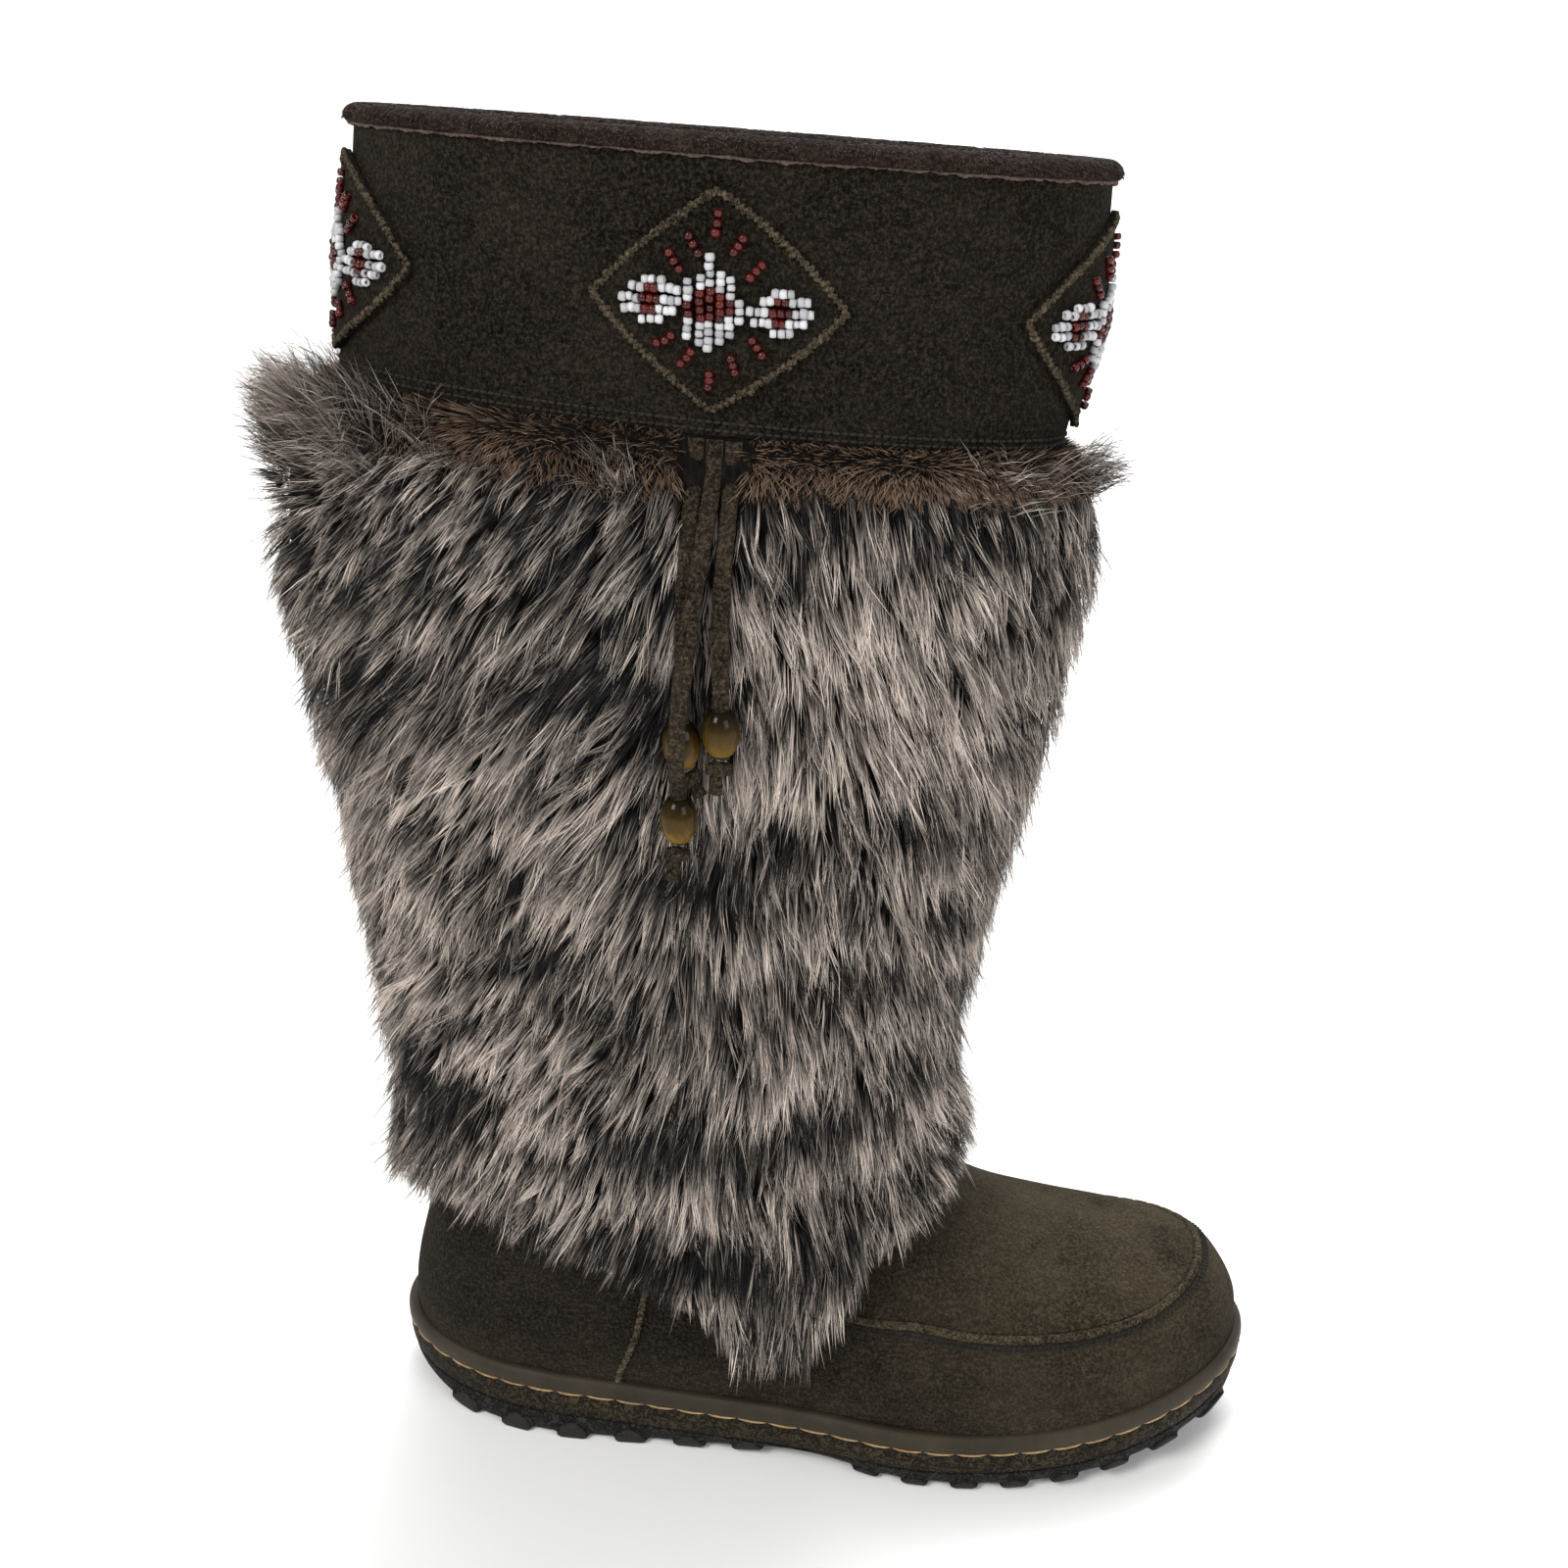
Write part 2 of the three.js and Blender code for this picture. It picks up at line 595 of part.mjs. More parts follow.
function furLocks() {
  const locks = [];
  for (let row = 0; row < lockRows; row += 1) {
    for (let i = 0; i < locksRound; i += 1) {
      const seed = row * locksRound + i;
      const turn = (2 * Math.PI * (i + 0.5 * (row % 2) + 0.3 * (chance(seed) - 0.5))) / locksRound;
      const low = hemPlace(turn) + 1.1;
      const place = low + (24.2 - low) * (row / (lockRows - 1));
      const length = lockLength * (0.8 + 0.4 * chance(seed + 0.5));
      const start = skinPoint(place, turn, 0);
      const besideThongs = Math.abs(start.x - thongMiddleX) < 19 && start.y < 0 && start.z > 205;
      if (!besideThongs) locks.push(lock(place, turn, length, lockWidth, 2.5));
    }
  }
  for (const [turn, length] of tuftRows) locks.push(lock(hemPlace(turn) + 0.4, turn, length, 15, 5));
  return wasm.Manifold.union(locks);
}

// Room in the pile for the thongs, open to the outside.
function thongRoom() {
  const side = tassel.left.route.map(([, y, z]) => [y + thongDepth / 2 + 3 * gap, z]);
  const start = new THREE.Vector2(-110, side[0][1] + 12);
  const end = side[side.length - 1];
  const outline = [[side[0][0], side[0][1] + 12], ...side, [end[0], end[1] - 14], [-110, end[1] - 14]];
  const shape = new THREE.Shape([start, ...outline.map(([y, z]) => new THREE.Vector2(y, z))]);
  const geometry = new THREE.ExtrudeGeometry(shape, { depth: 2 * thongSpread, bevelEnabled: false });
  geometry.applyMatrix4(new THREE.Matrix4().set(
    0, 0, 1, thongMiddleX - thongSpread,
    1, 0, 0, 0,
    0, 1, 0, 0,
    0, 0, 0, 1,
  ));
  return solidFromGeometry(geometry);
}

function furShaft() {
  const sleeve = loft(pileRows.map(([place], row) => {
    const ring = [];
    for (let i = 0; i < furTurns; i += 1) {
      const turn = (2 * Math.PI * i) / furTurns;
      ring.push(skinPoint(place, turn, depthAt(row, turn)));
    }
    return ring;
  }));
  const below = sidePrism([[-80, -60], ...hemRows, [280, -60]].reverse());
  const inside = upperOuter(gap).add(counterOverlay(gap));
  return sleeve.subtract(below).add(furLocks()).subtract(inside).subtract(thongRoom());
}

// Flat suede strip along a route from under the cuff to its knot.
function thong(route) {
  const points = route.map(([x, y, z]) => new THREE.Vector3(x, y, z));
  const curve = new THREE.CatmullRomCurve3(points, false, 'centripetal');
  const rings = [];
  const steps = 11;
  for (let i = 0; i <= steps; i += 1) {
    const travel = curve.getTangentAt(i / steps);
    const wide = new THREE.Vector3(1, 0, 0).addScaledVector(travel, -travel.x).normalize();
    const deep = travel.clone().cross(wide);
    const here = curve.getPointAt(i / steps);
    rings.push(flatRing(here, wide, deep, thongWidth / 2, thongDepth / 2));
  }
  return loft(rings);
}

// Ring with flat sides and cut corners.
function flatRing(centre, wideWay, deepWay, wide, deep) {
  const corner = 0.35;
  const points = [[wide, 0], [wide - corner, deep], [-wide + corner, deep], [-wide, 0],
    [-wide + corner, -deep], [wide - corner, -deep]];
  return points.map(([across, out]) => centre.clone()
    .addScaledVector(wideWay, across)
    .addScaledVector(deepWay, out));
}

function thongBead([x, y, z]) {
  const profile = [];
  const bore = beadBore / 2;
  const start = Math.asin(bore / (beadWide / 2));
  const steps = 5;
  for (let i = 0; i <= steps; i += 1) {
    const turn = start + ((Math.PI - 2 * start) * i) / steps;
    profile.push(new THREE.Vector2((beadWide / 2) * Math.sin(turn), -(beadHigh / 2) * Math.cos(turn)));
  }
  profile.push(profile[0].clone());
  const geometry = new THREE.LatheGeometry(profile, 10);
  geometry.rotateX(Math.PI / 2);
  geometry.translate(x, y, z);
  return solidFromGeometry(geometry);
}

// Knot with the cut tail hanging from it.
function thongKnot([x, y, z], [tailX, tailZ]) {
  const down = new THREE.Vector3(tailX - x, 0, tailZ - z).normalize();
  const deep = new THREE.Vector3(0, 1, 0);
  const wide = deep.clone().cross(down);
  const start = new THREE.Vector3(x, y, z);
  return loft(knotRows.map(([along, half, thick]) => flatRing(
    start.clone().addScaledVector(down, along), wide, deep, half, thick)));
}

const materials = {
  suede: { color: 0x3a352c, roughness: 0.92, metalness: 0 },
  rubber: { color: 0x2e2d2c, roughness: 0.8, metalness: 0 },
  crepe: { color: 0x4b4232, roughness: 0.9, metalness: 0 },
  rand: { color: 0x4a4234, roughness: 0.6, metalness: 0 },
  lining: { color: 0x57493d, roughness: 0.95, metalness: 0 },
  binding: { color: 0x3e302a, roughness: 1, metalness: 0 },
  fur: { color: 0x6b635e, roughness: 1, metalness: 0 },
  beads: { color: 0xd9d6d2, roughness: 0.25, metalness: 0 },
  amber: { color: 0x4a3c18, roughness: 0.2, metalness: 0 },
};

const boot = new THREE.Group();
boot.position.x = -originFromHeel;

function addPart(name, solid, finish) {
  const mesh = solid.getMesh();
  const geometry = new THREE.BufferGeometry();
  geometry.setAttribute('position', new THREE.BufferAttribute(mesh.vertProperties, 3));
  geometry.setIndex(new THREE.BufferAttribute(mesh.triVerts, 1));
  const part = new THREE.Mesh(geometry, new THREE.MeshStandardMaterial(materials[finish]));
  part.name = name;
  boot.add(part);
}

addPart('outsole', outsole(), 'rubber');
addPart('midsole', midsole(), 'crepe');
addPart('welt', welt(), 'rand');
addPart('insole', insole(), 'lining');
addPart('upper', upper(), 'suede');
addPart('collar_binding', collarBinding(), 'binding');
for (const [side, spot] of Object.entries(patches)) {
  addPart(`patch_${side}`, patch(spot), 'suede');
  addPart(`beadwork_${side}`, beadwork(spot), 'beads');
}
addPart('fur_shaft', furShaft(), 'fur');
for (const [side, { route, bead, knot, tail }] of Object.entries(tassel)) {
  addPart(`thong_${side}`, thong(route), 'suede');
  addPart(`thong_bead_${side}`, thongBead(bead), 'amber');
  addPart(`thong_knot_${side}`, thongKnot(knot, tail), 'suede');
}

export default boot;
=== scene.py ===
import bpy
import math
import numpy as np
from mathutils import Matrix, Vector


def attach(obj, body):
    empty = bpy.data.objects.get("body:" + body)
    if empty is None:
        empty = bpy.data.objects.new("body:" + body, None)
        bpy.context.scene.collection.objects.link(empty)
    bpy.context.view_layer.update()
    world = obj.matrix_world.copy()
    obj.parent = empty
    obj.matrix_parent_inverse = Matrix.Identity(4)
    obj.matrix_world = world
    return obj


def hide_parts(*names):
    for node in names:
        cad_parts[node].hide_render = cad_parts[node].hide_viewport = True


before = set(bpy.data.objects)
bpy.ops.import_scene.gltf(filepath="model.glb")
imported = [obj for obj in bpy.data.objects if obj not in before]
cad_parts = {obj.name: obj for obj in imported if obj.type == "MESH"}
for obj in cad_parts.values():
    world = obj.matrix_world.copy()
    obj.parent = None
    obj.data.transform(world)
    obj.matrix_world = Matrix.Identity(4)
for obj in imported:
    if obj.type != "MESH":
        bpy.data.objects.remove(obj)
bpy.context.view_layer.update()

# Right snow boot. Shapes are worked out in millimetres from the back of the heel, as the solids are,
# and moved to the frame's metres when a mesh is made: X to the toe, Y to the inner side, Z up.
heelToOrigin = 64.0


# Camera of the photo: place in metres, turns in degrees and focal length in pixels of a 1600 picture
def placeCamera():
    view = {"x": 0.12382, "y": -0.48151, "z": 0.39872, "yaw": -7.2, "down": 20.84, "roll": 0.19,
            "focal": 1781.29, "imageSide": 1600, "sensor": 36}
    yaw, down, roll = (math.radians(view[k]) for k in ("yaw", "down", "roll"))
    forward = Vector((math.sin(yaw) * math.cos(down), math.cos(yaw) * math.cos(down), -math.sin(down)))
    level = Vector((math.cos(yaw), -math.sin(yaw), 0))
    upright = level.cross(forward)
    right = math.cos(roll) * level + math.sin(roll) * upright
    up = -math.sin(roll) * level + math.cos(roll) * upright
    camera = bpy.data.objects.new("camera", bpy.data.cameras.new("camera"))
    camera.matrix_world = Matrix((
        (right.x, up.x, -forward.x, view["x"]),
        (right.y, up.y, -forward.y, view["y"]),
        (right.z, up.z, -forward.z, view["z"]),
        (0, 0, 0, 1)))
    camera.data.sensor_width = view["sensor"]
    camera.data.lens = view["sensor"] * view["focal"] / view["imageSide"]
    camera.data.clip_start = 0.01
    bpy.context.scene.collection.objects.link(camera)
    bpy.context.scene.camera = camera
    print("camera placed")


placeCamera()

# The last: a row for each section of the foot and shaft, as in the solids
lastColumns = {name: i for i, name in enumerate(
    ("backX", "backZ", "frontX", "frontZ", "outer", "inner", "centre", "belly", "low", "high"))}
lastRows = np.array([
    [274.8, 22.0, 274.8, 39.0, 0.0, 0.0, 5.3, 0.45, 3.0, 2.2],
    [273.5, 21.8, 273.5, 46.0, 8.6, 8.1, 5.2, 0.45, 3.2, 2.3],
    [269.7, 20.9, 269.7, 53.0, 16.9, 15.9, 5.1, 0.44, 3.5, 2.3],
    [263.6, 19.1, 263.6, 59.5, 24.7, 23.2, 4.8, 0.43, 3.8, 2.4],
    [255.2, 16.9, 255.2, 62.3, 31.8, 29.9, 4.4, 0.42, 4.0, 2.4],
    [244.9, 14.6, 244.9, 64.4, 37.8, 35.6, 3.9, 0.41, 4.2, 2.4],
    [230.3, 11.8, 230.3, 65.4, 43.4, 41.0, 3.1, 0.40, 4.4, 2.4],
    [211.3, 9.3, 211.3, 67.1, 47.6, 45.2, 2.2, 0.40, 4.5, 2.4],
    [189.0, 8.0, 191.0, 73.5, 49.2, 44.5, 1.2, 0.39, 4.5, 2.3],
    [158.0, 8.4, 178.0, 84.2, 46.8, 39.5, 0.3, 0.38, 4.5, 2.2],
    [125.0, 9.1, 170.0, 96.0, 43.4, 34.8, 0.0, 0.38, 4.5, 2.1],
    [88.0, 9.9, 165.5, 110.0, 42.3, 33.6, 0.0, 0.40, 4.5, 2.1],
    [55.0, 10.6, 164.0, 122.0, 41.3, 34.6, 0.0, 0.42, 4.0, 2.1],
    [30.0, 11.0, 163.8, 132.0, 40.6, 35.6, 0.0, 0.43, 3.4, 2.1],
    [13.5, 13.0, 164.2, 140.5, 40.2, 36.6, 0.0, 0.44, 2.7, 2.1],
    [5.6, 21.0, 164.8, 148.0, 40.0, 37.3, 0.0, 0.45, 2.35, 2.1],
    [4.0, 32.0, 165.8, 155.0, 40.0, 37.8, 0.0, 0.46, 2.2, 2.1],
    [6.2, 46.0, 167.3, 163.0, 40.0, 38.2, 0.0, 0.47, 2.3, 2.1],
    [10.6, 64.0, 169.8, 173.0, 40.0, 38.6, 0.0, 0.48, 2.2, 2.1],
    [14.5, 89.0, 173.5, 187.0, 40.2, 39.2, 0.0, 0.49, 2.2, 2.1],
    [16.5, 120.0, 179.0, 206.0, 40.6, 40.0, 0.0, 0.50, 2.1, 2.1],
    [13.0, 162.0, 185.5, 230.0, 41.5, 41.0, 0.0, 0.50, 2.1, 2.1],
    [6.0, 207.0, 191.8, 257.0, 42.4, 42.0, 0.0, 0.50, 2.0, 2.0],
    [0.5, 250.0, 196.0, 281.0, 43.0, 43.0, 0.0, 0.50, 2.0, 2.0],
    [-1.2, 292.0, 198.8, 299.0, 43.5, 43.5, 0.0, 0.50, 2.0, 2.0],
    [3.2, 333.0, 201.6, 316.8, 44.0, 44.0, 0.0, 0.50, 2.0, 2.0],
    [6.6, 355.0, 206.4, 339.6, 44.0, 44.0, 0.0, 0.50, 2.0, 2.0],
    [9.8, 377.0, 209.4, 362.4, 44.0, 44.0, 0.0, 0.50, 2.0, 2.0],
    [12.8, 398.5, 210.2, 385.0, 44.0, 44.0, 0.0, 0.50, 2.0, 2.0],
])
cuffPlace, collarPlace, cuffPitch = 25.0, 28.08, 22.0
wall, cuffStep, counterStep = 2.6, 1.4, 1.1


# Smooth value of one column between rows, and straight on past the last row
def columnAt(rows, column, place):
    values = rows[:, column]
    last = len(values) - 1
    row = np.clip(np.floor(place), 0, last - 1).astype(int)
    t = place - row
    b, c = values[row], values[row + 1]
    a = np.where(row > 0, values[np.maximum(row - 1, 0)], 2 * b - c)
    d = np.where(row + 2 <= last, values[np.minimum(row + 2, last)], 2 * c - b)
    smooth = b + 0.5 * t * (c - a + t * (2 * a - 5 * b + 4 * c - d + t * (3 * (b - c) + d - a)))
    return np.where(place >= last, b + t * (c - b), smooth)


def fullTurn(count):
    return np.linspace(0, 2 * np.pi, count, endpoint=False)


# Radius of the superellipse |c|^power + |s|^power = 1
def squareRadius(c, s, power):
    return (np.abs(c) ** power + np.abs(s) ** power) ** (-1 / power)


# Point of the last: a two-part superellipse in the plane of the section. Turn 0 is the front,
# a quarter turn the inner side
def lastPoint(place, turn):
    place, turn = np.broadcast_arrays(np.asarray(place, float), np.asarray(turn, float))
    value = {name: columnAt(lastRows, i, place) for name, i in lastColumns.items()}
    lengthwise, widthwise = np.cos(turn), np.sin(turn)
    square = np.where(lengthwise > 0, value["high"], value["low"])
    radius = squareRadius(lengthwise, widthwise, square)
    share = np.where(lengthwise > 0, 1 - value["belly"], value["belly"])
    along = value["belly"] + lengthwise * radius * share
    half = np.maximum(np.where(widthwise > 0, value["inner"], value["outer"]), 0)
    return np.stack([
        value["backX"] + along * (value["frontX"] - value["backX"]),
        value["centre"] + widthwise * radius * half,
        value["backZ"] + along * (value["frontZ"] - value["backZ"])], -1)


def unit(vectors):
    return vectors / np.maximum(np.linalg.norm(vectors, axis=-1, keepdims=True), 1e-9)


# Distance along a path at each of its points
def lengthsOf(path):
    return np.concatenate([[0], np.cumsum(np.linalg.norm(np.diff(path, axis=0), axis=1))])


# Values of a path's points at given distances along it
def alongPath(at, length, values):
    return np.stack([np.interp(at, length, values[:, i]) for i in range(3)], -1)


# Outward normal of the last from the differences along and round it
def skinNormal(place, turn):
    step = 0.02
    foot = np.maximum(place, 0.15)
    up = lastPoint(foot + step, turn) - lastPoint(foot - step, turn)
    around = lastPoint(foot, turn + step) - lastPoint(foot, turn - step)
    return unit(np.cross(around, up))


def skinPoint(place, turn, grow):
    place, turn, grow = np.broadcast_arrays(
        np.asarray(place, float), np.asarray(turn, float), np.asarray(grow, float))
    return lastPoint(place, turn) + skinNormal(place, turn) * grow[..., None]


# Sole plan: outer and inner half width, middle and the outsole's flare for each eighth of the length,
# before the ends are rounded
soleLength, heelRound, toeRound = 276.0, 64.0, 85.0
planRows = np.array([
    [38.6, 35.2, 0.0, 0.0],
    [39.4, 35.6, 0.0, 2.2],
    [40.5, 33.5, 0.0, 2.0],
    [42.5, 30.5, 0.0, -1.2],
    [44.7, 34.0, 0.0, -2.4],
    [49.8, 42.5, 0.6, -0.6],
    [49.6, 47.5, 2.0, 0.0],
    [50.2, 47.5, 3.7, 0.0],
    [50.0, 46.0, 5.3, 0.0],
])


# Y of the plan's middle line, straight ahead at the heel
def middleLine(x):
    return columnAt(planRows, 2, x / soleLength * (len(planRows) - 1)) * np.minimum(1, x / 140)


# Point of the plan: length by the cosine of the turn, width from the rows, drawn in by a quarter
# ellipse at heel and toe
def planPoint(turn):
    x = soleLength * (1 - np.cos(turn)) / 2
    place = x / soleLength * (len(planRows) - 1)
    outer, inner = (columnAt(planRows, i, place) for i in range(2))
    side = np.where(np.sin(turn) >= 0, -outer, inner)
    heel = np.maximum(0, (heelRound - x) / heelRound)
    toe = np.maximum(0, (x - soleLength + toeRound) / toeRound)
    ends = np.sqrt(np.maximum(0, 1 - heel ** 2 - toe ** 2))
    return np.stack([x, middleLine(x) + side * ends], -1)


# The plan moved out along its own normal, with a share of the outsole's flare
def planEdge(turn, grow, flared=0.0):
    turn = np.asarray(turn, float)
    along = unit(planPoint(turn + 0.01) - planPoint(turn - 0.01))
    point = planPoint(turn)
    reach = grow + flared * columnAt(planRows, 3, point[..., 0] / soleLength * 8)
    return np.stack([point[..., 0] + along[..., 1] * reach, point[..., 1] - along[..., 0] * reach], -1)


soleHeights = {"spring": 14.9, "springFrom": 0.66, "springLong": 0.34, "seat": 18.6, "drop": 2.7,
               "heelRise": 2.1, "heelShare": 0.15, "bevel": 7, "bevelLong": 34, "arch": 2.2, "archFrom": 106,
               "archLong": 62, "split": 10.9, "splitRise": 1.6, "valley": 1.4}


# Toe spring: the square of the way past two thirds of the length
def spring(x):
    way = (x / soleLength - soleHeights["springFrom"]) / soleHeights["springLong"]
    return soleHeights["spring"] * np.maximum(0, way) ** 2


def towardsBall(x):
    return np.clip((x / soleLength - 0.2) / 0.45, 0, 1)


# Seat of the upper: a line falling to the ball, with the toe spring and a square rise at the heel
def seatHeight(x):
    heel = np.maximum(0, 1 - x / (soleHeights["heelShare"] * soleLength))
    level = soleHeights["seat"] - soleHeights["drop"] * towardsBall(x)
    return level + spring(x) + soleHeights["heelRise"] * heel ** 2


# Tread: the toe spring, a square bevel at the heel and a squared sine under the arch
def treadHeight(x):
    toHeel = (soleHeights["bevelLong"] - x) / soleHeights["bevelLong"]
    bevel = soleHeights["bevel"] * np.maximum(0, toHeel) ** 2
    way = (x - soleHeights["archFrom"]) / soleHeights["archLong"]
    arch = np.where((way > 0) & (way < 1), soleHeights["arch"] * np.sin(np.pi * way) ** 2, 0)
    return spring(x) + bevel + arch


# Where midsole and outsole meet
def splitHeight(x):
    return seatHeight(x) - soleHeights["split"] + soleHeights["splitRise"] * towardsBall(x)


# Mesh from millimetre points; faces is a list of index arrays, one for each number of corners
def meshPiece(name, points, faces, finish, uv=None, values=None):
    points = np.asarray(points, float).reshape(-1, 3)
    place = (points - [heelToOrigin, 0, 0]) * 0.001
    faces = [np.asarray(f, np.int32) for f in faces if len(f)]
    loops = np.concatenate([f.ravel() for f in faces])
    sizes = np.concatenate([np.full(len(f), f.shape[1]) for f in faces])
    starts = np.concatenate([[0], np.cumsum(sizes)[:-1]]).astype(np.int32)
    mesh = bpy.data.meshes.new(name)
    mesh.vertices.add(len(place))
    mesh.loops.add(len(loops))
    mesh.polygons.add(len(sizes))
    mesh.vertices.foreach_set("co", place.astype(np.float32).ravel())
    mesh.loops.foreach_set("vertex_index", loops)
    mesh.polygons.foreach_set("loop_start", starts)
    mesh.polygons.foreach_set("use_smooth", np.full(len(sizes), True))
    mesh.update(calc_edges=True)
    if uv is not None:
        layer = mesh.uv_layers.new(name="place")
        layer.data.foreach_set("uv", np.asarray(uv, np.float32).reshape(-1, 2)[loops].ravel())
    for key, numbers in (values or {}).items():
        attribute = mesh.attributes.new(key, "FLOAT", "POINT")
        attribute.data.foreach_set("value", np.asarray(numbers, np.float32).ravel())
    mesh.validate()
    piece = bpy.data.objects.new(name, mesh)
    bpy.context.scene.collection.objects.link(piece)
    mesh.materials.append(finish)
    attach(piece, "root")
    return piece


# Quads of a grid of rows by columns, closed round the columns and, if asked, from last row to first
def gridFaces(rows, columns, closeRows=False):
    r, c = np.meshgrid(np.arange(rows if closeRows else rows - 1), np.arange(columns), indexing="ij")
    nextRow, nextColumn = (r + 1) % rows, (c + 1) % columns
    here, there = r * columns, nextRow * columns
    corners = [here + c, here + nextColumn, there + nextColumn, there + c]
    return np.stack(corners, -1).reshape(-1, 4)


# Tube along a path: an ellipse of half sizes wide and deep in the plane across the path, with
# rounded or flat ends closed by a fan
def tubeMesh(path, wideWay, wide, deep, sides=10, square=2.0):
    path = np.asarray(path, float)
    travel = unit(np.gradient(path, axis=0))
    wideWay = unit(wideWay - travel * np.sum(wideWay * travel, -1, keepdims=True))
    deepWay = np.cross(travel, wideWay)
    c, s = np.cos(fullTurn(sides)), np.sin(fullTurn(sides))
    radius = squareRadius(c, s, square)
    wide, deep = np.broadcast_to(wide, len(path)), np.broadcast_to(deep, len(path))
    rings = (path[:, None] + wideWay[:, None] * (radius * c * wide[:, None])[..., None]
             + deepWay[:, None] * (radius * s * deep[:, None])[..., None])
    points = np.concatenate([rings.reshape(-1, 3), path[:1], path[-1:]])
    count = len(path) * sides
    here, there = np.arange(sides), (np.arange(sides) + 1) % sides
    first = np.stack([there, here, np.full(sides, count)], -1)
    final = np.stack([here, there, np.full(sides, count + 1)], -1) + [[count - sides, count - sides, 0]]
    return points, gridFaces(len(path), sides), np.concatenate([first, final])


# Closed rope round a path: its thickness at each point and turn, flattened outwards by a share
def closedRope(path, out, thick, sides, flat=1.0):
    travel = unit(np.roll(path, -1, axis=0) - np.roll(path, 1, axis=0))
    sideways = unit(np.cross(out, travel))
    c, s = np.cos(fullTurn(sides))[None, :, None], np.sin(fullTurn(sides))[None, :, None]
    points = path[:, None] + thick[..., None] * (sideways[:, None] * c + out[:, None] * flat * s)
    return points, [gridFaces(len(path), sides, closeRows=True)[:, ::-1]]


# Random wobble round a closed path, smoothed over a few points
def closedWobble(rng, count, width):
    draws = np.tile(rng.normal(0, 1, count), 3)
    return np.convolve(draws, np.ones(width) / width, "same")[count:2 * count]


# Many small shapes as one mesh: the same points and faces at each place, turned to its three directions
def scatter(shape, faces, places, axes, scales):
    copies = (places[:, None] + np.einsum("pk,nkj->npj", shape, axes * scales[:, :, None]))
    offsets = (np.arange(len(places)) * len(shape))[:, None, None]
    return copies.reshape(-1, 3), [(f[None] + offsets).reshape(-1, f.shape[1]) for f in faces]


# Several (points, faces, faces) as one, with quads and triangles kept apart
def join(parts):
    points, quads, triangles, count = [], [], [], 0
    for part in parts:
        shape, faces = part[0], part[1:]
        for f in faces:
            (quads if f.shape[1] == 4 else triangles).append(f + count)
        points.append(shape)
        count += len(shape)
    faces = [np.concatenate(f) for f in (quads, triangles) if f]
    return np.concatenate(points), faces


# One output socket; sums and products of wires add Math nodes
class Wire:
    def __init__(self, finish, socket):
        self.finish, self.socket = finish, socket

    def maths(self, operation, *others):
        values = {i: value for i, value in enumerate((self,) + others)}
        return self.finish.add("ShaderNodeMath", {"operation": operation}, values)

    def __add__(self, other): return self.maths("ADD", other)
    def __radd__(self, other): return self.maths("ADD", other)
    def __sub__(self, other): return self.maths("SUBTRACT", other)
    def __rsub__(self, other): return (self * -1).maths("ADD", other)
    def __mul__(self, other): return self.maths("MULTIPLY", other)
    def __rmul__(self, other): return self.maths("MULTIPLY", other)
    def __truediv__(self, other): return self.maths("DIVIDE", other)
    def __pow__(self, other): return self.maths("POWER", other)
    def clamp(self, low=0.0, high=1.0): return self.maths("MAXIMUM", low).maths("MINIMUM", high)

    def ramp(self, low, high):  # 0 below low, 1 above high
        return ((self - low) / (high - low)).clamp()


